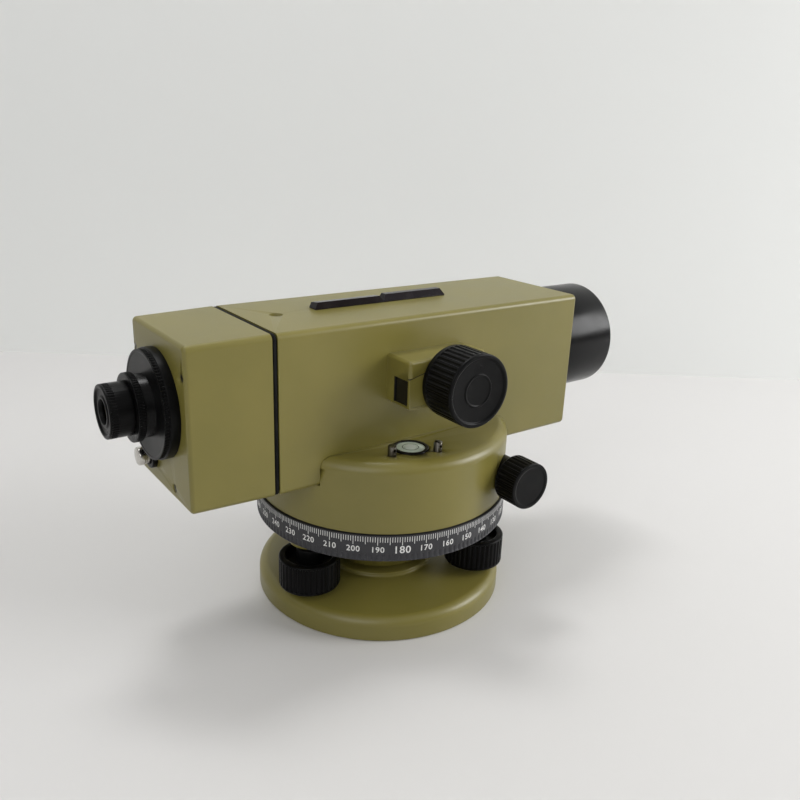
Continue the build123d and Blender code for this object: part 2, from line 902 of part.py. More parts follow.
# Objective tube, lens cell, cemented doublet and retaining ring
cell_radius = tube_radius - tube_wall
lens_radius = cell_radius - cell_wall
lens_seam = cell_front - retaining_length - lens_edge
lens_back = lens_seam - lens_edge
with BuildPart() as objective_tube:
    extrude(disc(optical(housing_front), tube_radius, cell_radius), amount=tube_front - housing_front)
    chamfer(
        objective_tube.faces().sort_by(Axis.X)[-1].edges(), tube_wall * 0.3
    )
    extrude(
        disc(optical(housing_front), tube_seat_radius, cell_radius), amount=-tube_seat_length
    )
write(objective_tube.part, "objective_tube")

with BuildPart() as objective_cell:
    extrude(disc(optical(cell_front), cell_radius, lens_radius), amount=-cell_length)
write(objective_cell.part, "objective_cell")

with BuildPart() as objective_front_lens:
    bulge_radius = curve_radius(lens_radius, front_lens_bulge)
    extrude(disc(optical(lens_seam), lens_radius), amount=lens_edge + front_lens_bulge)
    with Locations((lens_seam + lens_edge + front_lens_bulge - bulge_radius, 0, optical_height)):
        Sphere(bulge_radius, mode=Mode.INTERSECT)
write(objective_front_lens.part, "objective_front_lens")

with BuildPart() as objective_rear_lens:
    dish_radius = curve_radius(lens_radius, rear_lens_dish)
    extrude(disc(optical(lens_back), lens_radius), amount=lens_edge)
    with Locations((lens_back + rear_lens_dish - dish_radius, 0, optical_height)):
        Sphere(dish_radius, mode=Mode.SUBTRACT)
write(objective_rear_lens.part, "objective_rear_lens")

with BuildPart() as lens_retaining_ring:
    extrude(
        disc(optical(cell_front - retaining_length), lens_radius, lens_radius - cell_wall),
        amount=retaining_length,
    )
    with Locations((lens_seam + lens_edge + front_lens_bulge - bulge_radius, 0, optical_height)):
        Sphere(bulge_radius, mode=Mode.SUBTRACT)
write(lens_retaining_ring.part, "lens_retaining_ring")

# Focusing box on the near side, with a cover plate and the prism that shows the bubble
box_length = box_right - box_left
with BuildPart() as focus_box:
    with BuildSketch(across(-housing_half_width)):
        with Locations((box_left, box_bottom)):
            Rectangle(box_length, box_top - box_bottom, align=(Align.MIN, Align.MIN))
    extrude(amount=box_depth)
    fillet(
        focus_box.edges().filter_by(Axis.Y) + focus_box.faces().sort_by(Axis.Y)[0].edges(),
        box_edge,
    )
    with BuildSketch(across(-box_outer)):
        with BuildLine():
            Polyline(
                (box_left - 1, box_bottom - 1),
                (box_right + 1, box_bottom - 1),
                (box_right + 1, cover_seam_low),
                (focus_x, cover_seam_high),
                (box_left - 1, cover_seam_low),
                close=True,
            )
        make_face()
    extrude(amount=-cover_thickness, mode=Mode.SUBTRACT)
    with BuildSketch(across(-window_back)):
        with Locations((box_left - 1, window_bottom)):
            Rectangle(window_depth + 1, window_top - window_bottom, align=(Align.MIN, Align.MIN))
        with Locations((box_left + 1.2, box_bottom - 1)):
            Rectangle(window_depth - 2.4, window_bottom - box_bottom + 2, align=(Align.MIN, Align.MIN))
    extrude(amount=box_outer - window_back - cover_thickness, mode=Mode.SUBTRACT)
    with BuildSketch(across(-housing_half_width)):
        with Locations((focus_x, focus_z)):
            Circle(focus_shaft_radius + focus_bush_wall)
    extrude(amount=box_depth, mode=Mode.SUBTRACT)
write(focus_box.part, "focus_box")

with BuildPart() as focus_box_cover:
    with BuildSketch(across(-(box_outer - cover_thickness))):
        with BuildLine():
            Polyline(
                (box_left, box_bottom),
                (box_right, box_bottom),
                (box_right, cover_seam_low),
                (focus_x, cover_seam_high),
                (box_left, cover_seam_low),
                close=True,
            )
        make_face()
        with Locations((focus_x, focus_z)):
            Circle(focus_shaft_radius + focus_bush_wall, mode=Mode.SUBTRACT)
    extrude(amount=cover_thickness)
    fillet(
        focus_box_cover.edges().filter_by(Axis.Y).group_by(Axis.Z)[0],
        box_edge,
    )
write(focus_box_cover.part, "focus_box_cover")

prism_side = min(window_top - window_bottom, window_depth) - 2 * seat_gap
with BuildPart() as bubble_prism:
    with BuildSketch(across(-window_back)):
        with BuildLine():
            Polyline(
                (box_left + 0.8, window_bottom),
                (box_left + 0.8 + prism_side, window_bottom),
                (box_left + 0.8, window_bottom + prism_side),
                close=True,
            )
        make_face()
    extrude(amount=box_outer - window_back - cover_thickness)
write(bubble_prism.part, "bubble_prism")

# Focusing drive: bush, shaft with its pinion, and the large fluted knob
with BuildPart() as focus_bush:
    with BuildSketch(across(-bush_end)):
        with Locations((focus_x, focus_z)):
            Circle(focus_shaft_radius + focus_bush_wall)
            Circle(focus_shaft_radius + running_gap, mode=Mode.SUBTRACT)
    extrude(amount=box_outer - bush_end)
write(focus_bush.part, "focus_bush")

shaft_outer = focus_knob_front - focus_knob_rim - 2
with BuildPart() as focus_shaft:
    with BuildSketch(across(-rack_inner)):
        with Locations((focus_x, focus_z)):
            Circle(pinion_radius - running_gap)
    extrude(amount=pinion_width)
    with BuildSketch(across(-rack_inner - pinion_width)):
        with Locations((focus_x, focus_z)):
            Circle(focus_shaft_radius)
    extrude(amount=shaft_outer - rack_inner - pinion_width)
write(focus_shaft.part, "focus_shaft")

knob_plane = Plane(origin=(focus_x, -focus_knob_back, focus_z), x_dir=(1, 0, 0), z_dir=(0, -1, 0))
knob_depth = focus_knob_front - focus_knob_back
with BuildPart() as focus_knob:
    extrude(disc(knob_plane, focus_knob_radius), amount=focus_knob_band)
    chamfer(focus_knob.faces().sort_by(Axis.Y)[-1].edges(), focus_knob_edge)
    extrude(
        fluted_outline(
            knob_plane.offset(focus_knob_band), focus_knob_radius, focus_flutes, flute_depth
        ),
        amount=knob_depth - focus_knob_band - focus_knob_edge,
    )
    extrude(
        disc(knob_plane.offset(knob_depth - focus_knob_edge), focus_knob_radius),
        amount=focus_knob_edge,
    )
    chamfer(focus_knob.faces().sort_by(Axis.Y)[0].edges(), focus_knob_edge * 0.9)
    extrude(
        disc(knob_plane.offset(knob_depth), focus_knob_radius - focus_knob_rim, focus_knob_boss_radius),
        amount=-focus_knob_dish,
        mode=Mode.SUBTRACT,
    )
    extrude(
        disc(knob_plane, focus_shaft_radius),
        amount=shaft_outer - focus_knob_back,
        mode=Mode.SUBTRACT,
    )
write(focus_knob.part, "focus_knob")

# Focusing carriage: a lens tube on two guide rods, driven by a rack on its near side
rack_top = focus_z - pinion_radius - running_gap
rack_start = focus_x - focus_travel - rack_margin
with BuildPart() as focus_carriage:
    extrude(
        disc(optical(carriage_rear), carriage_radius, carriage_radius - carriage_wall),
        amount=carriage_length,
    )
    with BuildSketch(along(carriage_rear + (carriage_length - lug_length) / 2)):
        for side in (-1, 1):
            with Locations((side * rod_spacing / 2, rod_height)):
                Circle(lug_width / 2)
            with Locations((side * rod_spacing / 2, rod_height)):
                Rectangle(
                    lug_width,
                    optical_height - carriage_radius / 2 - rod_height,
                    align=(Align.CENTER, Align.MIN),
                )
    extrude(amount=lug_length)
    with BuildSketch(across(-rack_inner)):
        with Locations((rack_start, rack_top - rack_height)):
            Rectangle(
                carriage_rear + rack_arm_length - rack_start,
                rack_height,
                align=(Align.MIN, Align.MIN),
            )
    extrude(amount=pinion_width)
    with BuildSketch(across(-carriage_radius + carriage_wall)):
        with Locations((carriage_rear, rack_top - rack_height)):
            Rectangle(
                rack_arm_length,
                rack_height - 2 * seat_gap,
                align=(Align.MIN, Align.MIN),
            )
    extrude(amount=rack_inner - carriage_radius + carriage_wall)
    extrude(
        disc(optical(carriage_rear), carriage_radius - carriage_wall),
        amount=carriage_length,
        mode=Mode.SUBTRACT,
    )
    with BuildSketch(along(carriage_rear)):
        with Locations((-rod_spacing / 2, rod_height), (rod_spacing / 2, rod_height)):
            Circle(rod_radius + running_gap)
    extrude(amount=carriage_length, mode=Mode.SUBTRACT)
write(focus_carriage.part, "focus_carriage")

focus_lens_radius = carriage_radius - carriage_wall
with BuildPart() as focus_lens:
    lens_start = carriage_rear + focus_lens_edge
    lens_end = lens_start + focus_lens_middle + 2 * focus_lens_dish
    dish_radius = curve_radius(focus_lens_radius, focus_lens_dish)
    extrude(disc(optical(lens_start), focus_lens_radius), amount=lens_end - lens_start)
    with Locations(
        (lens_start + focus_lens_dish - dish_radius, 0, optical_height),
        (lens_end - focus_lens_dish + dish_radius, 0, optical_height),
    ):
        Sphere(dish_radius, mode=Mode.SUBTRACT)
write(focus_lens.part, "focus_lens")

with BuildPart() as guide_rods:
    with BuildSketch(along(rod_start)):
        for side in (-1, 1):
            with Locations((side * rod_spacing / 2, rod_height)):
                Circle(rod_radius)
    extrude(amount=rod_span)
write(guide_rods.part, "guide_rods")

# Compensator: frame with two fixed prisms, and a pendulum prism hung on four bands
side_outer = compensator_width / 2 + compensator_side
damper_floor = housing_floor + compensator_base
vane_bottom = damper_floor + damper_wall + damper_clearance
with BuildPart() as compensator_frame:
    with BuildSketch(along(compensator_x - compensator_length / 2)):
        with Locations((0, housing_floor)):
            Rectangle(2 * side_outer, compensator_top - housing_floor, align=(Align.CENTER, Align.MIN))
        with Locations((0, housing_floor + compensator_base)):
            Rectangle(
                compensator_width,
                compensator_top - compensator_bridge - housing_floor - compensator_base,
                align=(Align.CENTER, Align.MIN),
                mode=Mode.SUBTRACT,
            )
    extrude(amount=compensator_length)
    pot_plane = Plane((compensator_x, 0, damper_floor))
    extrude(disc(pot_plane, vane_radius + damper_clearance + damper_wall), amount=damper_height)
    extrude(
        disc(pot_plane.offset(damper_wall), vane_radius + damper_clearance),
        amount=damper_height,
        mode=Mode.SUBTRACT,
    )
write(compensator_frame.part, "compensator_frame")

prism_half = compensator_width / 2
with BuildPart() as fixed_prisms:
    for side in (-1, 1):
        corner = compensator_x + side * compensator_length / 2
        with BuildSketch(across(prism_half)):
            with BuildLine():
                Polyline(
                    (corner, optical_height - fixed_prism_size),
                    (corner, optical_height + fixed_prism_size),
                    (corner - side * fixed_prism_size, optical_height - fixed_prism_size),
                    close=True,
                )
            make_face()
    extrude(amount=2 * prism_half)
write(fixed_prisms.part, "fixed_prisms")

pendulum_half = pendulum_width / 2
yoke_top = pivot_height - band_length / 2
with BuildPart() as pendulum_yoke:
    with BuildSketch(along(compensator_x - pendulum_length / 2)):
        with Locations((0, pendulum_floor)):
            Rectangle(2 * pendulum_half, yoke_top - pendulum_floor, align=(Align.CENTER, Align.MIN))
        with Locations((0, pendulum_floor + pendulum_side)):
            Rectangle(
                2 * (pendulum_half - pendulum_side),
                yoke_top - pendulum_floor - 2 * pendulum_side,
                align=(Align.CENTER, Align.MIN),
                mode=Mode.SUBTRACT,
            )
    extrude(amount=pendulum_length)
    vane_plane = Plane((compensator_x, 0, vane_bottom))
    extrude(disc(vane_plane, vane_radius), amount=vane_thickness)
    extrude(disc(vane_plane, vane_stem_radius), amount=pendulum_floor - vane_bottom)
write(pendulum_yoke.part, "pendulum_yoke")

with BuildPart() as pendulum_prism:
    with BuildSketch(across(pendulum_half - pendulum_side)):
        with Locations((compensator_x, pendulum_floor + pendulum_side)):
            Trapezoid(prism_length, prism_height, 60, align=(Align.CENTER, Align.MIN))
    extrude(amount=2 * (pendulum_half - pendulum_side))
write(pendulum_prism.part, "pendulum_prism")

with BuildPart() as suspension_bands:
    with BuildSketch(Plane.XY.offset(compensator_top - compensator_bridge)):
        for side_x in (-1, 1):
            for side_y in (-1, 1):
                with Locations((compensator_x + side_x * band_width, side_y * pendulum_half * 0.8)):
                    Rectangle(band_thickness, band_width)
    extrude(amount=-(compensator_top - compensator_bridge - yoke_top - seat_gap))
write(suspension_bands.part, "suspension_bands")

# Eyepiece: cover ring on the casing, neck with a knurled lock ring, and the dioptre barrel
neck_bore = ocular_radius + ocular_wall + 1.0
with BuildPart() as cover_ring:
    extrude(
        disc(optical(casing_rear), ring_radius, neck_outer_radius),
        amount=-(ring_thickness - ring_grip_width),
    )
    extrude(
        disc(
            optical(casing_rear - ring_thickness + ring_grip_width),
            ring_grip_radius,
            neck_outer_radius,
        ),
        amount=-ring_grip_width,
    )
write(cover_ring.part, "cover_ring")

with BuildPart() as eyepiece_mount:
    extrude(disc(optical(neck_end), neck_outer_radius, neck_bore), amount=casing_rear - neck_end)
    extrude(
        disc(optical(casing_rear), casing_port_radius, neck_bore), amount=casing_rear_wall
    )
    extrude(
        disc(optical(guide_start), casing_port_radius, reticle_radius),
        amount=reticle_x - guide_start,
    )
write(eyepiece_mount.part, "eyepiece_mount")

with BuildPart() as lock_ring:
    extrude(disc(optical(neck_end), lock_ring_radius, neck_bore), amount=-lock_ring_width)
write(lock_ring.part, "lock_ring")

barrel_start = lock_ring_end - seat_gap
barrel_bore = ocular_radius + ocular_wall + running_gap
with BuildPart() as dioptre_barrel:
    extrude(disc(optical(-barrel_rear), barrel_radius, barrel_bore), amount=barrel_start + barrel_rear)
    extrude(
        disc(optical(-barrel_rear), barrel_bore, eye_hole_radius), amount=barrel_wall
    )
    extrude(
        disc(optical(barrel_start), neck_bore - running_gap, barrel_bore),
        amount=neck_end - barrel_start + 2,
    )
    chamfer(dioptre_barrel.faces().sort_by(Axis.X)[0].edges(), barrel_wall * 0.3)
write(dioptre_barrel.part, "dioptre_barrel")

ocular_start = -barrel_rear + barrel_wall + ocular_travel + seat_gap
with BuildPart() as ocular_cell:
    extrude(
        disc(optical(ocular_start), ocular_radius + ocular_wall, ocular_radius), amount=ocular_length
    )
write(ocular_cell.part, "ocular_cell")

with BuildPart() as ocular_lenses:
    extrude(disc(optical(ocular_start + 0.5), ocular_radius), amount=eye_lens_edge)
    extrude(
        disc(optical(ocular_start + ocular_length - 0.5), ocular_radius), amount=-eye_lens_edge
    )
write(ocular_lenses.part, "ocular_lenses")

with BuildPart() as reticle_glass:
    extrude(disc(optical(reticle_x), reticle_radius), amount=-reticle_glass_thickness)
write(reticle_glass.part, "reticle_glass")

# Check button of the compensator, in its collar, with a return spring
with BuildPart() as button_collar:
    extrude(
        disc(button_plane.offset(casing_rear), button_collar_radius, button_head_radius + seat_gap),
        amount=-button_collar_length,
    )
write(button_collar.part, "button_collar")

with BuildPart() as check_button:
    extrude(disc(button_plane.offset(button_front), button_head_radius), amount=button_head_length)
    chamfer(check_button.faces().sort_by(Axis.X)[0].edges(), 0.5)
    extrude(disc(button_plane.offset(button_front), button_stem_radius), amount=button_reach)
write(check_button.part, "check_button")

spring_start = button_front + button_head_length
with BuildPart() as button_spring:
    extrude(
        disc(
            button_plane.offset(spring_start),
            button_head_radius - spring_wire / 2,
            button_stem_radius + spring_wire / 2,
        ),
        amount=guide_start - spring_start,
    )
write(button_spring.part, "button_spring")

# Open sight: two hipped wedges, the rear one steep on the near side, the front one sloped
with BuildPart() as open_sight:
    with BuildSketch(along(sight_left)):
        with BuildLine():
            Polyline(
                (sight_near, housing_top),
                (sight_near + sight_width, housing_top),
                (sight_near + sight_width, housing_top + sight_height * 0.8),
                (sight_near + 0.3, housing_top + sight_height),
                close=True,
            )
        make_face()
    extrude(amount=sight_split - sight_left)
    with BuildSketch(along(sight_split)):
        with BuildLine():
            Polyline(
                (sight_near, housing_top),
                (sight_near + sight_width, housing_top),
                (sight_near + sight_width, housing_top + sight_height),
                (sight_near + sight_top_width, housing_top + sight_height),
                (sight_near, housing_top + 0.6),
                close=True,
            )
        make_face()
    extrude(amount=sight_right - sight_split)
    with BuildSketch(across(sight_near + sight_width)):
        with BuildLine():
            Polyline(
                (sight_split - sight_hip, housing_top + sight_height + 1),
                (sight_split, housing_top + 0.5),
                (sight_split + sight_hip, housing_top + sight_height + 1),
                close=True,
            )
        make_face()
    extrude(amount=sight_width + 1, mode=Mode.SUBTRACT)
    for end, side in ((sight_left, 1), (sight_right, -1)):
        with BuildSketch(across(sight_near + sight_width + 1)):
            with BuildLine():
                Polyline(
                    (end - side, housing_top),
                    (end, housing_top + 0.6),
                    (end + side * sight_hip * 0.6, housing_top + sight_height + 1),
                    (end - side, housing_top + sight_height + 1),
                    close=True,
                )
            make_face()
        extrude(amount=sight_width + 2, mode=Mode.SUBTRACT)
write(open_sight.part, "open_sight")

# Circular level: a cup sunk in the dome top, its glass, and two capstan adjusting screws
level_top = dome_top + level_proud
level_plane = Plane((level_x, level_y, 0))
with BuildPart() as level_case:
    extrude(
        disc(level_plane.offset(dome_top - level_depth), level_radius),
        amount=level_depth + level_proud,
    )
    chamfer(level_case.edges().group_by(Axis.Z)[-1], level_proud / 2)
    extrude(
        disc(level_plane.offset(level_top), level_glass_radius),
        amount=-(level_depth + level_proud - level_floor),
        mode=Mode.SUBTRACT,
    )
write(level_case.part, "level_case")

with BuildPart() as level_vial:
    extrude(
        disc(level_plane.offset(level_top - 0.4), level_glass_radius),
        amount=-(level_depth + level_proud - level_floor - 0.4),
    )
write(level_vial.part, "level_vial")

with BuildPart() as level_screws:
    for angle in level_screw_angles:
        screw_x = level_x + level_screw_circle * cos(radians(angle))
        screw_y = level_y + level_screw_circle * sin(radians(angle))
        extrude(
            disc(Plane((screw_x, screw_y, dome_top - level_screw_depth)), level_screw_radius),
            amount=level_screw_depth + level_screw_height,
        )
        hole_height = dome_top + level_screw_height * 0.6
        with BuildSketch(across(screw_y + level_screw_radius)):
            with Locations((screw_x, hole_height)):
                Circle(level_screw_hole)
        extrude(amount=2 * level_screw_radius, mode=Mode.SUBTRACT)
write(level_screws.part, "level_screws")
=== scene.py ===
"""Looks of an automatic level with a graduated circle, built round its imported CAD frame.

Every Blender length is in metres in the frame's own axes: +X towards the objective, +Z up and
-Y towards the focusing knob. The classes hold their sizes in millimetres, and MM turns them
into metres.
"""

from __future__ import annotations

import json
import logging
import math
from dataclasses import dataclass, field
from enum import Enum
from typing import Any, Sequence

import bmesh
import bpy
import numpy as np
from mathutils import Matrix, Vector

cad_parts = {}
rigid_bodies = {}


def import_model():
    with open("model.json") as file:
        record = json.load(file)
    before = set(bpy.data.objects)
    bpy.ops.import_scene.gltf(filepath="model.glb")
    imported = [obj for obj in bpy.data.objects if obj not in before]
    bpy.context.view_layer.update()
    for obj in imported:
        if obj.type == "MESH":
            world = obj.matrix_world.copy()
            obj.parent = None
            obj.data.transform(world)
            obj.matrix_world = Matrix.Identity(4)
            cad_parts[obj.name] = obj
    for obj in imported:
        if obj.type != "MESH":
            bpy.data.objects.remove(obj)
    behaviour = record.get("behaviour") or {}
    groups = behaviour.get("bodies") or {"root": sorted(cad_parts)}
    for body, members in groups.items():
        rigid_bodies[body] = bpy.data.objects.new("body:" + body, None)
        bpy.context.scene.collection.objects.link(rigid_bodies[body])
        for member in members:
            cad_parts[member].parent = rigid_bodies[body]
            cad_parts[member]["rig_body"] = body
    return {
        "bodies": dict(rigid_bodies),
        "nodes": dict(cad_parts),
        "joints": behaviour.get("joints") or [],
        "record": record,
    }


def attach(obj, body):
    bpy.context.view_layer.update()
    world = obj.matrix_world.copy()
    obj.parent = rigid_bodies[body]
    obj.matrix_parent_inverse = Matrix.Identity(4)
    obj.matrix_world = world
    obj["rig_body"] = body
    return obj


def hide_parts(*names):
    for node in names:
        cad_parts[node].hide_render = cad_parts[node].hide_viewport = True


LOG = logging.getLogger("automatic_level")
MM = 0.001
SHARP_ANGLE = math.radians(32)
FLAT_ANGLE = math.radians(0.5)
MERGE_DISTANCE = 1e-6
VANISHING_EDGE = 1e-7
SMALLEST_SINE = 1e-6
SMALLEST_LENGTH = 1e-9
SAME_PLACE = 1e-5
ROUNDING_STEPS = 5
TURNED_COLUMNS = 128

Triple = tuple[float, float, float]

FRONT: Triple = (1.0, 0.0, 0.0)
REAR: Triple = (-1.0, 0.0, 0.0)
NEAR: Triple = (0.0, -1.0, 0.0)
FAR: Triple = (0.0, 1.0, 0.0)
UP: Triple = (0.0, 0.0, 1.0)

# Corner k of a block takes low or high on its three axes by the bits of k.
CORNER_BITS = np.array([[k & 1, k >> 1 & 1, k >> 2 & 1] for k in range(8)])
BLOCK_SIDES = np.array(
    [[0, 2, 3, 1], [4, 5, 7, 6], [0, 1, 5, 4], [2, 6, 7, 3], [0, 4, 6, 2], [1, 3, 7, 5]]
)


# Shader expressions


class Graph:
    """The node tree of one material or world, filled through one method."""

    def __init__(self, owner: bpy.types.Material | bpy.types.World) -> None:
        """Empties the owner's node tree.

        Args:
            owner: a new material or world.
        """
        owner.use_nodes = True
        self.owner = owner
        self.tree = owner.node_tree
        self.tree.nodes.clear()

    def node(
        self, kind: str, settings: dict[str, Any] | None = None, **inputs: Any
    ) -> bpy.types.Node:
        """Adds one node.

        Args:
            kind: the node's type, such as ShaderNodeBump.
            settings: attributes that are set first; "ramp" holds colour stops.
            **inputs: values or links by socket name, with spaces written as underscores; a
                name such as socket_2 stands for the socket with that index.

        Returns:
            The new node.
        """
        made = self.tree.nodes.new(kind)
        for key, value in (settings or {}).items():
            if key == "ramp":
                self._fill_ramp(made.color_ramp, value)
            else:
                setattr(made, key, value)
        for key, value in inputs.items():
            socket = self._socket(made, key)
            if isinstance(value, Signal):
                value = value.socket
            if isinstance(value, bpy.types.NodeSocket):
                self.tree.links.new(value, socket)
            else:
                socket.default_value = value
        return made

    @staticmethod
    def _socket(made: bpy.types.Node, key: str) -> bpy.types.NodeSocket:
        """Finds the input socket that a keyword names.

        Args:
            made: the node.
            key: the keyword, as node takes it.

        Returns:
            The socket.
        """
        if key.startswith("socket_"):
            return made.inputs[int(key.removeprefix("socket_"))]
        return made.inputs[key.replace("_", " ")]

    @staticmethod
    def _fill_ramp(ramp: bpy.types.ColorRamp, stops: Sequence[tuple[float, Triple]]) -> None:
        """Gives a colour ramp its stops.

        Args:
            ramp: the ramp, which has two stops at first.
            stops: pairs of position and colour.
        """
        while len(ramp.elements) < len(stops):
            ramp.elements.new(0.5)
        for element, (place, colour) in zip(ramp.elements, stops):
            element.position = place
            element.color = (*colour, 1.0)

    def place(self, stretch: Triple) -> bpy.types.NodeSocket:
        """Adds Object coordinates, times a number along each axis.

        Args:
            stretch: the three numbers.

        Returns:
            The coordinates' socket.
        """
        coordinates = self.node("ShaderNodeTexCoord")
        mapping = self.node(
            "ShaderNodeMapping", Vector=coordinates.outputs["Object"], Scale=stretch
        )
        return mapping.outputs["Vector"]

    def noise(self, size: float, detail: float, stretch: Triple = (1.0, 1.0, 1.0)) -> Signal:
        """Adds soft noise from 0 to 1.

        Args:
            size: width of the noise's features in metres.
            detail: number of finer layers.
            stretch: what the coordinates are multiplied by along each axis.

        Returns:
            The noise.
        """
        made = self.node(
            "ShaderNodeTexNoise", Vector=self.place(stretch), Scale=1.0 / size, Detail=detail
        )
        return Signal(self, made.outputs["Fac"])

    def mix(self, factor: Signal, low: Triple, high: Triple) -> bpy.types.NodeSocket:
        """Mixes two colours.

        Args:
            factor: 0 for the first colour and 1 for the second.
            low: the first colour.
            high: the second colour.

        Returns:
            The mixed colour's socket.
        """
        made = self.node(
            "ShaderNodeMix",
            {"data_type": "RGBA"},
            socket_0=factor,
            socket_6=(*low, 1.0),
            socket_7=(*high, 1.0),
        )
        return made.outputs[2]

    def bump(self, height: Signal, distance: float) -> bpy.types.NodeSocket:
        """Bends the normal by a height.

        Args:
            height: the height, from 0 to 1.
            distance: what a height of 1 stands for, in metres.

        Returns:
            The normal's socket.
        """
        made = self.node("ShaderNodeBump", Height=height, Distance=distance, Strength=1.0)
        return made.outputs["Normal"]

    def surface(self, **inputs: Any) -> bpy.types.Material:
        """Closes a material's tree with a Principled shader.

        Args:
            **inputs: values or links of the shader's sockets.

        Returns:
            The finished material.
        """
        shader = self.node("ShaderNodeBsdfPrincipled", **inputs)
        self.node("ShaderNodeOutputMaterial", Surface=shader.outputs[0])
        return self.owner


class Signal:
    """A number that varies over a surface, with arithmetic that adds Math nodes."""

    def __init__(self, graph: Graph, socket: bpy.types.NodeSocket) -> None:
        """Wraps one output socket of a graph."""
        self.graph = graph
        self.socket = socket

    def _math(self, operation: str, first: Any, second: Any) -> Signal:
        """Adds a Math node.

        Args:
            operation: the node's operation.
            first: its first signal or number.
            second: its second signal or number.

        Returns:
            The result.
        """
        made = self.graph.node(
            "ShaderNodeMath", {"operation": operation}, socket_0=first, socket_1=second
        )
        return Signal(self.graph, made.outputs[0])

    def __add__(self, other: Any) -> Signal:
        """Returns the sum."""
        return self._math("ADD", self, other)

    def __radd__(self, other: Any) -> Signal:
        """Returns the sum with a plain number in front."""
        return self._math("ADD", other, self)

    def __sub__(self, other: Any) -> Signal:
        """Returns the difference."""
        return self._math("SUBTRACT", self, other)

    def __rsub__(self, other: Any) -> Signal:
        """Returns the difference from a plain number."""
        return self._math("SUBTRACT", other, self)

    def __mul__(self, other: Any) -> Signal:
        """Returns the product."""
        return self._math("MULTIPLY", self, other)

    def __rmul__(self, other: Any) -> Signal:
        """Returns the product with a plain number in front."""
        return self._math("MULTIPLY", other, self)

    def spread(self, swing: float) -> Signal:
        """Returns (signal - 0.5) * swing, which varies about zero."""
        return (self - 0.5) * swing

    def step(self, limits: tuple[float, float]) -> Signal:
        """Makes a smooth step.

        Args:
            limits: the signal below which the step is 0 and the one above which it is 1.

        Returns:
            The step.
        """
        made = self.graph.node(
            "ShaderNodeMapRange",
            {"interpolation_type": "SMOOTHSTEP"},
            Value=self,
            From_Min=limits[0],
            From_Max=limits[1],
        )
        return Signal(self.graph, made.outputs[0])


# Finishes


class Finish:
    """One finish, which makes its Blender material once."""

    name: str

    def build(self, graph: Graph) -> bpy.types.Material:
        """Fills the graph of a new material with this finish and returns the material."""
        raise NotImplementedError

    def material(self) -> bpy.types.Material:
        """Returns the finish's material, made on first use."""
        made = bpy.data.materials.get(self.name)
        return made or self.build(Graph(bpy.data.materials.new(self.name)))


@dataclass(frozen=True)
class EnamelFinish(Finish):
    """Sprayed enamel on a casting: semi-gloss, with a fine orange-peel surface."""

    name: str
    colour: Triple
    shade: Triple
    roughness: float = 0.36
    gloss: float = 0.5
    drift_size: float = 38 * MM
    drift_limits: tuple[float, float] = (0.3, 0.75)
    drift_swing: float = 0.08
    peel_size: float = 0.9 * MM
    peel_height: float = 0.02 * MM
    grain_scale: float = 0.33
    grain_share: float = 0.3
    grain_swing: float = 0.1

    def build(self, graph: Graph) -> bpy.types.Material:
        """Makes the enamel, whose colour drifts slightly and whose surface ripples.

        Roughness = roughness + (drift - 0.5) * drift_swing + (grain - 0.5) * grain_swing.

        Args:
            graph: the new material's graph.

        Returns:
            The material.
        """
        drift = graph.noise(self.drift_size, detail=3.0)
        peel = graph.noise(self.peel_size, detail=2.0)
        grain = graph.noise(self.peel_size * self.grain_scale, detail=1.0)
        height = peel * (1 - self.grain_share) + grain * self.grain_share
        return graph.surface(
            Base_Color=graph.mix(drift.step(self.drift_limits), self.shade, self.colour),
            Roughness=self.roughness
            + drift.spread(self.drift_swing)
            + grain.spread(self.grain_swing),
            Normal=graph.bump(height, self.peel_height),
            Specular_IOR_Level=self.gloss,
        )


@dataclass(frozen=True)
class MouldedFinish(Finish):
    """Moulded or satin black material with a fine grain and slightly worn, dusty patches."""

    name: str
    colour: Triple
    dust: Triple
    roughness: float
    gloss: float = 0.5
    grain_size: float = 0.25 * MM
    grain_height: float = 0.006 * MM
    haze_size: float = 9 * MM
    haze_limits: tuple[float, float] = (0.45, 0.85)
    haze_swing: float = 0.16

    def build(self, graph: Graph) -> bpy.types.Material:
        """Makes the material.

        Args:
            graph: the new material's graph.

        Returns:
            The material.
        """
        grain = graph.noise(self.grain_size, detail=1.0)
        haze = graph.noise(self.haze_size, detail=4.0)
        return graph.surface(
            Base_Color=graph.mix(haze.step(self.haze_limits), self.colour, self.dust),
            Roughness=self.roughness + haze.spread(self.haze_swing),
            Normal=graph.bump(grain, self.grain_height),
            Specular_IOR_Level=self.gloss,
        )


@dataclass(frozen=True)
class MetalFinish(Finish):
    """Bare or plated metal with faint tool marks and stains."""

    name: str
    colour: Triple
    stain: Triple
    roughness: float
    stain_size: float = 2.5 * MM
    stain_limits: tuple[float, float] = (0.5, 0.8)
    stain_swing: float = 0.2
    mark_size: float = 0.5 * MM
    mark_stretch: Triple = (1.0, 1.0, 6.0)
    mark_swing: float = 0.08
    mark_height: float = 0.004 * MM

    def build(self, graph: Graph) -> bpy.types.Material:
        """Makes the metal.

        Args:
            graph: the new material's graph.

        Returns:
            The material.
        """
        stains = graph.noise(self.stain_size, detail=4.0)
        marks = graph.noise(self.mark_size, detail=2.0, stretch=self.mark_stretch)
        return graph.surface(
            Base_Color=graph.mix(stains.step(self.stain_limits), self.colour, self.stain),
            Metallic=1.0,
            Roughness=self.roughness
            + stains.spread(self.stain_swing)
            + marks.spread(self.mark_swing),
            Normal=graph.bump(marks, self.mark_height),
        )


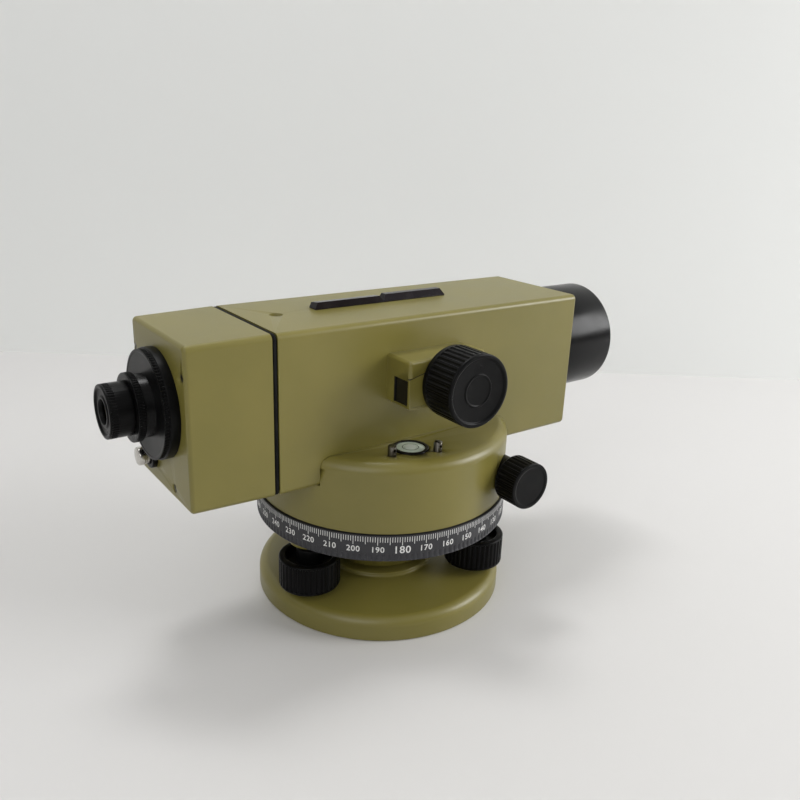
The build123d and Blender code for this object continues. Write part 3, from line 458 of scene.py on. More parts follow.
@dataclass(frozen=True)
class GlassFinish(Finish):
    """Polished glass, tinted, with a faint film of dust."""

    name: str
    colour: Triple
    haze: Triple
    transmission: float
    roughness: float = 0.02
    coat_tint: tuple[float, float, float, float] = (1.0, 1.0, 1.0, 1.0)
    coat_weight: float = 0.5
    coat_roughness: float = 0.02
    refraction: float = 1.5
    film_size: float = 6 * MM
    film_limits: tuple[float, float] = (0.4, 0.9)
    film_roughness: float = 0.03

    def build(self, graph: Graph) -> bpy.types.Material:
        """Makes the glass.

        Args:
            graph: the new material's graph.

        Returns:
            The material.
        """
        film = graph.noise(self.film_size, detail=3.0)
        return graph.surface(
            Base_Color=graph.mix(film.step(self.film_limits), self.colour, self.haze),
            Roughness=self.roughness + film * self.film_roughness,
            Transmission_Weight=self.transmission,
            IOR=self.refraction,
            Coat_Weight=self.coat_weight,
            Coat_Roughness=self.coat_roughness,
            Coat_Tint=self.coat_tint,
        )


@dataclass(frozen=True)
class PrintFinish(Finish):
    """Thin printed or filled marks: matt and a little uneven."""

    name: str
    colour: Triple
    worn: Triple
    roughness: float = 0.6
    wear_size: float = 1.2 * MM
    wear_limits: tuple[float, float] = (0.45, 0.8)

    def build(self, graph: Graph) -> bpy.types.Material:
        """Makes the print.

        Args:
            graph: the new material's graph.

        Returns:
            The material.
        """
        wear = graph.noise(self.wear_size, detail=3.0)
        colour = graph.mix(wear.step(self.wear_limits), self.colour, self.worn)
        return graph.surface(Base_Color=colour, Roughness=self.roughness)


class Palette(Enum):
    """The finishes of this object, each with its main and its second colour."""

    OLIVE = EnamelFinish("olive_enamel", (0.198, 0.169, 0.038), (0.172, 0.149, 0.032))
    KNOB = MouldedFinish(
        "black_knob", (0.003, 0.003, 0.003), (0.007, 0.007, 0.007), roughness=0.3, gloss=0.1
    )
    ANODISED = MouldedFinish(
        "black_anodised", (0.003, 0.003, 0.003), (0.006, 0.005, 0.005), roughness=0.24, gloss=0.14
    )
    CIRCLE = MouldedFinish(
        "circle_black", (0.008, 0.008, 0.008), (0.014, 0.014, 0.013), roughness=0.36, gloss=0.16
    )
    SIGHT = MouldedFinish(
        "sight_bar", (0.009, 0.006, 0.008), (0.016, 0.012, 0.014), roughness=0.22, gloss=0.25
    )
    GASKET = MouldedFinish(
        "gasket_black", (0.004, 0.004, 0.004), (0.01, 0.01, 0.009), roughness=0.7, gloss=0.15
    )
    DARK_GLASS = MouldedFinish(
        "dark_prism", (0.002, 0.002, 0.003), (0.004, 0.004, 0.005), roughness=0.05
    )
    # Also used on the top plug, where the black is painted shade in the plug's hole.
    LINING = MouldedFinish(
        "black_lining", (0.003, 0.003, 0.003), (0.006, 0.006, 0.006), roughness=0.6
    )
    NICKEL = MetalFinish("nickel", (0.62, 0.6, 0.56), (0.38, 0.35, 0.3), roughness=0.24)
    DARK_STEEL = MetalFinish(
        "darkened_steel", (0.16, 0.15, 0.13), (0.07, 0.06, 0.05), roughness=0.32
    )
    BRASS = MetalFinish("brass", (0.62, 0.45, 0.18), (0.4, 0.27, 0.1), roughness=0.28)
    ALLOY = MetalFinish("alloy", (0.5, 0.5, 0.5), (0.32, 0.32, 0.32), roughness=0.38)
    OPTICS = GlassFinish(
        "optical_glass", (0.86, 0.9, 0.88), (0.8, 0.84, 0.82), transmission=0.95
    )
    COATED = GlassFinish(
        "coated_glass",
        (0.3, 0.42, 0.5),
        (0.26, 0.34, 0.42),
        transmission=0.8,
        coat_tint=(0.6, 0.5, 1.0, 1.0),
    )
    VIAL = GlassFinish(
        "vial_glass", (0.62, 0.72, 0.6), (0.56, 0.66, 0.54), transmission=0.12, roughness=0.08
    )
    BUBBLE = GlassFinish(
        "bubble", (0.74, 0.8, 0.72), (0.68, 0.76, 0.66), transmission=0.2, roughness=0.05
    )
    MARKS = PrintFinish("white_marks", (0.78, 0.78, 0.76), (0.5, 0.5, 0.48))
    VIAL_MARKS = PrintFinish("vial_marks", (0.02, 0.02, 0.02), (0.05, 0.05, 0.05))

    def material(self) -> bpy.types.Material:
        """Returns the finish's material."""
        return self.value.material()


SLOT_FINISH = {
    "body_paint": Palette.OLIVE,
    "black_plastic": Palette.KNOB,
    "black_metal": Palette.ANODISED,
    "circle_black": Palette.CIRCLE,
    "sight_black": Palette.SIGHT,
    "gasket": Palette.GASKET,
    "steel": Palette.NICKEL,
    "dark_steel": Palette.DARK_STEEL,
    "brass": Palette.BRASS,
    "alloy": Palette.ALLOY,
    "optical_glass": Palette.OPTICS,
    "level_glass": Palette.VIAL,
}


# Meshes


def finish_mesh(name: str, mesh: bpy.types.Mesh) -> bpy.types.Object:
    """Merges a mesh's doubles, shades it smooth up to the sharp angle and links it.

    Args:
        name: the new object's name.
        mesh: the mesh.

    Returns:
        The new object.
    """
    work = bmesh.new()
    work.from_mesh(mesh)
    bmesh.ops.remove_doubles(work, verts=work.verts, dist=MERGE_DISTANCE)
    bmesh.ops.dissolve_degenerate(work, edges=work.edges, dist=VANISHING_EDGE)
    work.to_mesh(mesh)
    work.free()
    mesh.shade_smooth()
    mesh.set_sharp_from_angle(angle=SHARP_ANGLE)
    made = bpy.data.objects.new(name, mesh)
    bpy.context.scene.collection.objects.link(made)
    return made


def mesh_object(name: str, points: np.ndarray, faces: np.ndarray) -> bpy.types.Object:
    """Makes a smooth-shaded object with doubles merged.

    Args:
        name: the object's name.
        points: array (n, 3) of places in metres.
        faces: array of point numbers, one row for each face.

    Returns:
        The new object.
    """
    mesh = bpy.data.meshes.new(name)
    mesh.from_pydata(points, [], faces.tolist())
    return finish_mesh(name, mesh)


def grid_object(name: str, points: np.ndarray, loop: bool) -> bpy.types.Object:
    """Makes a mesh from a grid of points, whose last column joins its first.

    Each cell of the grid is one quad.

    Args:
        name: the object's name.
        points: array of shape (rows, columns, 3), in metres.
        loop: whether the last row joins the first.

    Returns:
        The new object, with coincident points merged, so that poles and seams are closed.
    """
    rows, columns = points.shape[:2]
    last_row = rows if loop else rows - 1
    row, column = np.meshgrid(np.arange(last_row), np.arange(columns), indexing="ij")
    below, right = (row + 1) % rows, (column + 1) % columns
    quads = np.stack(
        [
            row * columns + column,
            row * columns + right,
            below * columns + right,
            below * columns + column,
        ],
        axis=-1,
    ).reshape(-1, 4)
    return mesh_object(name, points.reshape(-1, 3), quads)


def blocks(name: str, corners: np.ndarray) -> bpy.types.Object:
    """Makes one object of six-sided blocks.

    Args:
        name: the object's name.
        corners: array (n, 8, 3) in metres, in the order of CORNER_BITS. The three axes of
            the bits make a right-handed set, so that the faces point outwards.

    Returns:
        The new object.
    """
    faces = (np.arange(len(corners))[:, None, None] * 8 + BLOCK_SIDES).reshape(-1, 4)
    return mesh_object(name, corners.reshape(-1, 3), faces)


@dataclass(frozen=True)
class Axle:
    """A turning axis: lengths along it, radii from it and angles from a starting direction."""

    origin: Triple
    along: Triple
    start: Triple

    def place(self, reach: np.ndarray, radius: np.ndarray, angle: np.ndarray) -> np.ndarray:
        """Places points round the axis.

        Point = origin + reach * along + radius * (cos(angle) * start + sin(angle) * side), where
        side is along x start.

        Args:
            reach: lengths along the axis in millimetres.
            radius: lengths from the axis in millimetres.
            angle: angles in radians.

        Returns:
            The points in metres.
        """
        along, start = np.array(self.along), np.array(self.start)
        side = np.cross(along, start)
        spoke = np.cos(angle)[..., None] * start + np.sin(angle)[..., None] * side
        return (np.array(self.origin) + reach[..., None] * along + radius[..., None] * spoke) * MM


@dataclass(frozen=True)
class Grip:
    """Round grooves along a rim, between two places on its axis, in millimetres.

    Width is the share of the pitch that a groove takes, fade the length over which it runs out,
    and shares are the places of the mesh columns in one pitch.
    """

    count: int
    depth: float
    rim: float
    first: float
    last: float
    fade: float = 0.35
    width: float = 0.72
    shares: tuple[float, ...] = (0.0, 0.09, 0.16, 0.22, 0.32, 0.44, 0.56, 0.68, 0.78, 0.84, 0.91)

    def angles(self) -> np.ndarray:
        """Returns the mesh columns' angles, closer together at the grooves' edges."""
        return np.add.outer(np.arange(self.count), self.shares).ravel() * 2 * np.pi / self.count

    def cut(self, reach: np.ndarray, radius: np.ndarray, angle: np.ndarray) -> np.ndarray:
        """Works out what the grooves take off the radius.

        A groove is a circle of radius g with its centre g - depth outside the rim. At the arc
        distance s from its middle it takes off sqrt(g^2 - s^2) - (g - depth) where that is
        positive, and it fades out at both ends of the band.

        Args:
            reach: the points' lengths along the axis.
            radius: their radii before the cut.
            angle: their angles in radians.

        Returns:
            The lengths to take off.
        """
        pitch = 2 * np.pi * self.rim / self.count
        groove = self.width * pitch / 2
        arc = (np.mod(angle * self.count / (2 * np.pi), 1.0) - 0.5) * pitch
        dip = np.sqrt(np.maximum(groove**2 - arc**2, 0.0)) - (groove - min(self.depth, groove))
        rise = np.clip((reach - self.first) / self.fade, 0, 1)
        fall = np.clip((self.last - reach) / self.fade, 0, 1)
        return np.maximum(dip, 0.0) * rise * fall * (radius > self.rim - self.depth)

    def rows(self) -> tuple[Triple, ...]:
        """Returns the profile corners that the band needs, from first to last."""
        places = (self.first, self.first + self.fade, self.last - self.fade, self.last)
        return tuple((place, self.rim, 0.0) for place in places)


def soften(corners: Sequence[Triple], loop: bool) -> np.ndarray:
    """Rounds the corners of a profile.

    Each corner C has a rounding. It becomes the curve (1-t)^2 A + 2t(1-t) C + t^2 B, where A and
    B lie the rounding before and after C.

    Args:
        corners: rows of reach, radius and rounding in millimetres.
        loop: whether the profile is closed.

    Returns:
        Array of reach and radius, without repeated points.
    """
    table = np.array(corners, dtype=float)
    places, rounding = table[:, :2], table[:, 2:]
    before, after = np.roll(places, 1, axis=0), np.roll(places, -1, axis=0)
    if not loop:
        before[0], after[-1] = places[0], places[-1]
    back, ahead = before - places, after - places
    back /= np.maximum(np.linalg.norm(back, axis=1, keepdims=True), SMALLEST_LENGTH)
    ahead /= np.maximum(np.linalg.norm(ahead, axis=1, keepdims=True), SMALLEST_LENGTH)
    first, last = places + back * rounding, places + ahead * rounding
    t = np.linspace(0, 1, ROUNDING_STEPS)[None, :, None]
    curve = (1 - t) ** 2 * first[:, None] + 2 * t * (1 - t) * places[:, None] + t**2 * last[:, None]
    curve = curve.reshape(-1, 2)
    fresh = np.r_[True, np.linalg.norm(np.diff(curve, axis=0), axis=1) > SAME_PLACE]
    return curve[fresh]


def turned(
    name: str,
    axle: Axle,
    corners: Sequence[Triple],
    grip: Grip | None = None,
    loop: bool = False,
    columns: int = TURNED_COLUMNS,
) -> bpy.types.Object:
    """Makes a turned piece: a softened profile carried round an axle.

    Args:
        name: the object's name.
        axle: the turning axis.
        corners: the profile, as rows of reach, radius and rounding in millimetres.
        grip: grooves that change the radius.
        loop: whether the profile is closed, as for a ring.
        columns: number of mesh columns where there is no grip.

    Returns:
        The new object.
    """
    rows = soften(corners, loop)
    angles = grip.angles() if grip else np.arange(columns) * 2 * np.pi / columns
    reach, angle = np.meshgrid(rows[:, 0], angles, indexing="ij")
    radius = np.repeat(rows[:, 1:2], len(angles), axis=1)
    if grip:
        radius = radius - grip.cut(reach, radius, angle)
    return grid_object(name, axle.place(reach, radius, angle), loop)


# Bodies, slots and the nodes that pieces stand for


@dataclass
class Kit:
    """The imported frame, and the list of nodes already replaced."""

    frame: dict[str, Any]
    replaced: set[str] = field(default_factory=set)

    def slot(self, node: str) -> str:
        """Returns a node's material slot."""
        rows = self.frame["record"]["subparts"]
        return next(row["material_slot"] for row in rows if row["node"] == node)

    def beside(
        self, piece: bpy.types.Object, node: str, finish: Palette | None = None
    ) -> bpy.types.Object:
        """Dresses a detail piece, which rides on the body of the node that carries it.

        Args:
            piece: the finished object.
            node: the CAD node that carries it.
            finish: its own finish, or None for the finish of the node's slot.

        Returns:
            The same object.
        """
        slot = self.slot(node)
        body = self.frame["nodes"][node]["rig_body"]
        piece.data.materials.clear()
        piece.data.materials.append((finish or SLOT_FINISH[slot]).material())
        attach(piece, body)
        LOG.info("%s: %d faces on %s", piece.name, len(piece.data.polygons), body)
        return piece

    def instead(
        self, piece: bpy.types.Object, node: str, finish: Palette | None = None
    ) -> bpy.types.Object:
        """Dresses a piece that stands for a CAD node.

        Args:
            piece: the finished object.
            node: the CAD node.
            finish: its own finish, or None for the finish of the node's slot.

        Returns:
            The same object.
        """
        self.beside(piece, node, finish)
        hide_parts(node)
        self.replaced.add(node)
        return piece

    def skin(
        self, node: str, edge: float = 0.0, finish: Palette | None = None
    ) -> bpy.types.Object:
        """Replaces a node by a merged copy of its mesh, shaded smooth with even normals.

        Args:
            node: the CAD node.
            edge: width in millimetres of a small bevel on its sharp edges.
            finish: its own finish, or None for the finish of the node's slot.

        Returns:
            The copy.
        """
        made = finish_mesh(f"{node}_skin", self.frame["nodes"][node].data.copy())
        if edge > 0:
            self._break_edges(made, edge)
        even = made.modifiers.new("Even normals", "WEIGHTED_NORMAL")
        even.keep_sharp = edge == 0
        even.weight = 100
        return self.instead(made, node, finish)

    @staticmethod
    def _break_edges(made: bpy.types.Object, edge: float) -> None:
        """Joins a piece's flat triangles and bevels its sharp edges.

        Args:
            made: the piece.
            edge: the bevel's width in millimetres.
        """
        work = bmesh.new()
        work.from_mesh(made.data)
        bmesh.ops.dissolve_limit(
            work, angle_limit=FLAT_ANGLE, verts=work.verts, edges=work.edges
        )
        work.to_mesh(made.data)
        work.free()
        soft = made.modifiers.new("Broken edges", "BEVEL")
        soft.width = edge * MM
        soft.segments = 2
        soft.limit_method = "ANGLE"
        soft.angle_limit = SHARP_ANGLE


# Sub-assemblies


OPTICAL_AXLE = Axle((0.0, 0.0, 110.5), FRONT, FAR)
EYE_AXLE = Axle((0.0, 0.0, 110.5), REAR, NEAR)
UPRIGHT_AXLE = Axle((0.0, 0.0, 0.0), UP, FRONT)


@dataclass
class Castings:
    """The painted castings and other CAD shapes that keep their form.

    Plain holds nodes that only get smooth shading, and crisp the nodes that have crisp edges,
    each with the width of their bevel, which is 0 where they have none.
    """

    kit: Kit
    plain: tuple[str, ...] = (
        "bearing_housing",
        "telescope_housing",
        "eyepiece_casing",
        "housing_gasket",
        "base_plate",
        "tribrach",
        "foot_spindle_1",
        "foot_spindle_2",
        "foot_spindle_3",
        "drive_bushes",
        "focus_bush",
        "level_screws",
        "worm_shaft",
    )
    crisp: tuple[tuple[str, float], ...] = (
        ("focus_box_cover", 0.12),
        ("open_sight", 0.3),
        ("focus_box", 0.0),
    )

    def paint(self) -> None:
        """Gives every CAD node the finish of its slot."""
        for row in self.kit.frame["record"]["subparts"]:
            shown = self.kit.frame["nodes"][row["node"]]
            shown.data.materials.clear()
            shown.data.materials.append(SLOT_FINISH[row["material_slot"]].material())

    def build(self) -> None:
        """Paints all nodes and dresses the named ones."""
        self.paint()
        for node in self.plain:
            self.kit.skin(node)
        for node, edge in self.crisp:
            self.kit.skin(node, edge)


@dataclass
class FootScrews:
    """The three fluted foot knobs."""

    kit: Kit
    circle: float = 47.5
    phase: float = -167.3
    bottom: float = 15.0
    height: float = 14.5
    rim: float = 14.1
    bore: float = 4.0
    recess: float = 11.0
    recess_depth: float = 3.5
    recess_slope: float = 0.5
    neck: float = 6.0
    neck_top: float = 33.5
    flutes: int = 36
    flute_depth: float = 0.6
    band_start: float = 1.2
    band_end: float = 0.9

    def knob(self, number: int) -> bpy.types.Object:
        """Makes one knob: a fluted rim round a dished top with a neck in its middle.

        Args:
            number: the foot screw's number, from 1 to 3.

        Returns:
            The knob.
        """
        angle = math.radians(self.phase + 120 * (number - 1))
        centre = (self.circle * math.cos(angle), self.circle * math.sin(angle), 0.0)
        top = self.bottom + self.height
        floor = top - self.recess_depth
        first, last = self.bottom + self.band_start, top - self.band_end
        grip = Grip(self.flutes, self.flute_depth, self.rim, first, last)
        corners = (
            (self.bottom, self.bore, 0.3),
            (self.bottom, self.rim, 1.1),
            *grip.rows(),
            (top, self.rim, 0.8),
            (top, self.recess, 0.6),
            (floor, self.recess - self.recess_slope, 1.2),
            (floor, self.neck, 0.8),
            (self.neck_top, self.neck, 0.5),
            (self.neck_top, self.bore, 0.2),
        )
        return turned(f"foot_grip_{number}", Axle(centre, UP, FRONT), corners, grip, loop=True)

    def build(self) -> None:
        """Builds the knobs in place of the CAD ones."""
        for number in (1, 2, 3):
            self.kit.instead(self.knob(number), f"foot_knob_{number}")


@dataclass
class GraduatedCircle:
    """The horizontal circle: rim with a grip band, degree lines and numbers.

    Zero is the angle in degrees at which the number 0 stands.
    """

    kit: Kit
    rim: float = 60.4
    inner: float = 57.2
    bottom: float = 40.8
    top: float = 52.8
    web_bottom: float = 46.0
    web_top: float = 49.0
    journal: float = 45.95
    grooves: int = 150
    groove_depth: float = 0.4
    band_start: float = 0.4
    band_end: float = 3.4
    zero: float = 64.2
    proud: float = 0.03
    line_width: float = 0.26
    line_top: float = 52.35
    short_line: float = 2.4
    long_line: float = 3.5
    tenth_line: float = 0.35
    digit_height: float = 2.75
    digit_middle: float = 46.5
    quarter_scale: float = 1.28
    letter_space: float = 1.08
    stroke_growth: float = 0.012

    def ring(self) -> bpy.types.Object:
        """Makes the circle's rim and web.

        Returns:
            The ring.
        """
        first, last = self.bottom + self.band_start, self.bottom + self.band_end
        grip = Grip(self.grooves, self.groove_depth, self.rim, first, last)
        corners = (
            (self.bottom, self.inner, 0.2),
            (self.bottom, self.rim, 0.3),
            *grip.rows(),
            (self.top, self.rim, 0.25),
            (self.top, self.inner, 0.2),
            (self.web_top, self.inner, 0.4),
            (self.web_top, self.journal, 0.2),
            (self.web_bottom, self.journal, 0.2),
            (self.web_bottom, self.inner, 0.4),
        )
        return turned("circle_ring", UPRIGHT_AXLE, corners, grip, loop=True)

    def wrap(self, across: np.ndarray, height: np.ndarray, out: np.ndarray) -> np.ndarray:
        """Lays flat places round the rim.

        Angle = zero + across / rim, and the radius is the rim's plus out.

        Args:
            across: lengths round the rim in millimetres.
            height: heights in millimetres.
            out: heights over the rim in millimetres.

        Returns:
            The places in metres.
        """
        angle = math.radians(self.zero) + across / self.rim
        return UPRIGHT_AXLE.place(height, self.rim + out, angle)

    def lines(self) -> bpy.types.Object:
        """Makes the 360 degree lines, of which each fifth is longer and each tenth longest.

        Returns:
            The lines as one object of thin blocks, which stand proud of the rim and reach as
            far into it.
        """
        degree = np.arange(360)
        length = np.where(degree % 5 == 0, self.long_line, self.short_line)
        length = length + np.where(degree % 10 == 0, self.tenth_line, 0.0)
        middle = -np.radians(degree) * self.rim
        across = middle[:, None] + (0.5 - CORNER_BITS[:, 0]) * self.line_width
        out = np.broadcast_to((CORNER_BITS[:, 1] * 2 - 1) * self.proud, across.shape)
        height = self.line_top - length[:, None] * (1 - CORNER_BITS[:, 2])
        return blocks("degree_lines", self.wrap(across, height, out))

    def number(self, value: int) -> tuple[np.ndarray, np.ndarray]:
        """Makes the mesh of one number, laid round the rim.

        Args:
            value: the number, of which 0, 90, 180 and 270 are larger.

        Returns:
            Its points in metres and its triangles.
        """
        text = bpy.data.curves.new(f"number_{value}", "FONT")
        text.body = str(value)
        text.align_x = "CENTER"
        text.resolution_u = 3
        text.space_character = self.letter_space
        text.extrude = self.proud
        text.offset = self.stroke_growth
        holder = bpy.data.objects.new(text.name, text)
        mesh = bpy.data.meshes.new_from_object(holder)
        mesh.calc_loop_triangles()
        flat = np.empty(len(mesh.vertices) * 3)
        mesh.vertices.foreach_get("co", flat)
        flat = flat.reshape(-1, 3)
        faces = np.empty(len(mesh.loop_triangles) * 3, dtype=int)
        mesh.loop_triangles.foreach_get("vertices", faces)
        bpy.data.objects.remove(holder)
        bpy.data.meshes.remove(mesh)
        bpy.data.curves.remove(text)
        tall = self.digit_height * (self.quarter_scale if value % 90 == 0 else 1.0)
        scale = tall / (flat[:, 1].max() - flat[:, 1].min())
        across = flat[:, 0] * scale - math.radians(value) * self.rim
        height = self.digit_middle + flat[:, 1] * scale - tall / 2
        return self.wrap(across, height, flat[:, 2]), faces.reshape(-1, 3)

    def numbers(self) -> bpy.types.Object:
        """Makes the 36 numbers, one for each ten degrees.

        Returns:
            The numbers as one object.
        """
        parts = [self.number(value) for value in range(0, 360, 10)]
        shifts = np.cumsum([0] + [len(points) for points, _ in parts[:-1]])
        faces = np.concatenate([face + shift for (_, face), shift in zip(parts, shifts)])
        return mesh_object("degree_numbers", np.concatenate([p for p, _ in parts]), faces)

    def build(self) -> None:
        """Builds the ring, the lines and the numbers."""
        self.kit.instead(self.ring(), "graduated_circle")
        self.kit.beside(self.lines(), "graduated_circle", Palette.MARKS)
        self.kit.beside(self.numbers(), "graduated_circle", Palette.MARKS)


@dataclass
class HorizontalDrive:
    """The two fluted knobs of the endless horizontal drive."""

    kit: Kit
    x: float = 34.3
    z: float = 65.9
    back: float = 55.4
    length: float = 12.0
    rim: float = 10.85
    flutes: int = 30
    flute_depth: float = 0.55
    band_start: float = 0.5
    band_end: float = 0.9
    lip: float = 1.6
    dish_slope: float = 0.6
    dish: float = 0.25

    def build(self) -> None:
        """Builds the knobs, of which the near one stands for the CAD node."""
        last = self.length - self.band_end
        grip = Grip(self.flutes, self.flute_depth, self.rim, self.band_start, last)
        corners = (
            (0.0, 0.0, 0.0),
            (0.0, self.rim, 0.5),
            *grip.rows(),
            (self.length, self.rim, 0.6),
            (self.length, self.rim - self.lip, 0.3),
            (self.length - self.dish, self.rim - self.lip - self.dish_slope, 0.3),
            (self.length - self.dish, 0.0, 0.0),
        )
        for name, side, dress in (
            ("drive_grip_near", NEAR, self.kit.instead),
            ("drive_grip_far", FAR, self.kit.beside),
        ):
            axle = Axle((self.x, side[1] * self.back, self.z), side, FRONT)
            dress(turned(name, axle, corners, grip), "drive_knobs")


@dataclass
class FocusDrive:
    """The focusing knob, and the box's dark window, prism and cover seam."""

    kit: Kit
    x: float = 2.5
    z: float = 115.1
    back: float = 46.0
    depth: float = 18.2
    rim: float = 15.85
    band: float = 2.2
    band_step: float = 0.2
    flutes: int = 40
    flute_depth: float = 0.6
    lip: float = 1.7
    dish: float = 0.7
    boss: float = 7.0
    box_left: float = -19.1
    box_right: float = 21.8
    box_face: float = 45.4
    seam_low: float = 118.1
    seam_high: float = 123.6
    seam_shift: float = 1.15
    seam_half: float = 0.11
    seam_proud: float = 0.02
    seam_depth: float = 1.2
    window_back: float = 34.4
    window_front: float = 44.2
    window_right: float = -6.6
    window_bottom: float = 106.0
    window_top: float = 117.2
    window_inset: float = 0.2
    lining_thickness: float = 0.15

    def knob(self) -> bpy.types.Object:
        """Makes the knob: smooth band, long grooves, a raised front rim and a ringed boss.

        Returns:
            The knob.
        """
        axle = Axle((self.x, -self.back, self.z), NEAR, FRONT)
        grip = Grip(self.flutes, self.flute_depth, self.rim, self.band + 0.4, self.depth - 1.1)
        face = self.depth - self.dish
        band_rim = self.rim - self.band_step
        corners = (
            (0.0, 0.0, 0.0),
            (0.0, band_rim, 0.5),
            (self.band, band_rim, 0.2),
            (self.band + 0.1, self.rim, 0.05),
            *grip.rows(),
            (self.depth, self.rim, 0.8),
            (self.depth, self.rim - self.lip, 0.35),
            (face, self.rim - self.lip - 0.6, 0.35),
            (face - 0.25, self.boss + 0.9, 0.2),
            (face - 0.25, self.boss + 0.2, 0.15),
            (face + 0.05, self.boss, 0.15),
            (face + 0.05, self.boss - 0.5, 0.15),
            (face - 0.2, self.boss - 0.9, 0.2),
            (face - 0.3, 0.0, 0.0),
        )
        return turned("focus_grip", axle, corners, grip)

    def lining(self) -> bpy.types.Object:
        """Makes the black plates on the window's roof, back and two ends.

        Returns:
            The plates as one object.
        """
        thin = self.lining_thickness
        left, right = self.box_left + self.window_inset, self.window_right
        front, back = -self.window_front, -self.window_back
        low, high = self.window_bottom, self.window_top
        plates = np.array(
            [
                [(left, front, high - thin), (right, back, high)],
                [(left, back - thin, low), (right, back, high)],
                [(left, front, low), (right, front + thin, high)],
                [(right - thin, front, low), (right, back, high)],
            ]
        )
        lows, highs = plates[:, :1], plates[:, 1:]
        corners = lows * (1 - CORNER_BITS) + highs * CORNER_BITS
        return blocks("window_lining", corners * MM)

    def seam(self) -> bpy.types.Object:
        """Makes the dark joint line of the cover: a strip along a line with one bend.

        Each stretch of the line is a block as wide as the strip, which stands a hair proud.

        Returns:
            The strip.
        """
        proud = self.seam_proud
        line = np.array(
            [
                (self.box_left - proud, self.seam_low),
                ((self.box_left + self.box_right) / 2 + self.seam_shift, self.seam_high),
                (self.box_right + proud, self.seam_low),
            ]
        )
        rise = np.array([0.0, self.seam_half])
        corners = np.stack(
            [
                np.stack([point[:, 0], np.full(2, y), (point + side * rise)[:, 1]], axis=-1)
                for y in (-self.box_face + self.seam_depth, -self.box_face - proud)
                for side in (-1, 1)
                for point in (line[:-1], line[1:])
            ],
            axis=1,
        )
        return blocks("cover_seam", corners * MM)

    def build(self) -> None:
        """Builds the knob and the box's details."""
        self.kit.instead(self.knob(), "focus_knob")
        self.kit.beside(self.lining(), "focus_box", Palette.LINING)
        self.kit.skin("bubble_prism", finish=Palette.DARK_GLASS)
        self.kit.beside(self.seam(), "focus_box", Palette.LINING)


@dataclass
class Objective:
    """The objective tube with its stray-light grooves, and the coated front lens."""

    kit: Kit
    seat: float = 85.25
    wall: float = 95.25
    front: float = 128.3
    rim: float = 27.1
    seat_rim: float = 25.5
    bore: float = 24.3
    groove_start: float = 0.6
    groove_pitch: float = 0.9
    groove_depth: float = 0.45
    mouth: float = 1.6
    cell_front: float = 117.0
    lens_rim: float = 22.0
    lens_back: float = 110.5
    lens_edge: float = 4.0
    lens_bulge: float = 1.8

    def tube(self) -> bpy.types.Object:
        """Makes the tube, with a row of fine grooves inside its mouth.

        Returns:
            The tube.
        """
        start, pitch = self.cell_front + self.groove_start, self.groove_pitch
        count = int((self.front - self.mouth - start) / pitch)
        grooves = [
            (start + (index + share) * pitch, self.bore + deep, 0.05)
            for index in range(count)
            for share, deep in ((0.0, 0.0), (0.5, self.groove_depth))
        ]
        corners = (
            (self.seat, self.seat_rim, 0.2),
            (self.wall, self.seat_rim, 0.0),
            (self.wall, self.rim, 0.1),
            (self.front, self.rim, 0.9),
            (self.front, self.bore + 0.3, 0.5),
            *reversed(grooves),
            (self.cell_front, self.bore, 0.0),
            (self.seat, self.bore, 0.2),
        )
        return turned("objective_barrel", OPTICAL_AXLE, corners, loop=True, columns=160)

    def lens(self) -> bpy.types.Object:
        """Makes the front lens, whose front bulges: rise = bulge * (1 - (r / rim)^2).

        Returns:
            The lens.
        """
        edge = self.lens_back + self.lens_edge
        dome = [
            (edge + self.lens_bulge * (1 - share * share), self.lens_rim * share, 0.0)
            for share in np.linspace(1, 0, 12)
        ]
        corners = ((self.lens_back, 0.0, 0.0), (self.lens_back, self.lens_rim, 0.1), *dome)
        return turned("objective_glass", OPTICAL_AXLE, corners, columns=96)

    def retainer(self) -> bpy.types.Object:
        """Makes the lens's retaining ring, which slopes down to the glass.

        Returns:
            The ring.
        """
        corners = (
            (self.cell_front - 2.5, self.lens_rim, 0.1),
            (self.cell_front, self.lens_rim, 0.1),
            (self.cell_front, self.lens_rim - 1.2, 0.2),
            (self.cell_front - 2.1, self.lens_rim - 2.2, 0.1),
        )
        return turned("objective_ring", OPTICAL_AXLE, corners, loop=True)

    def build(self) -> None:
        """Builds the tube, the lens and its ring."""
        self.kit.instead(self.tube(), "objective_tube")
        self.kit.instead(self.lens(), "objective_front_lens", Palette.COATED)
        self.kit.skin("objective_cell")
        self.kit.instead(self.retainer(), "lens_retaining_ring")


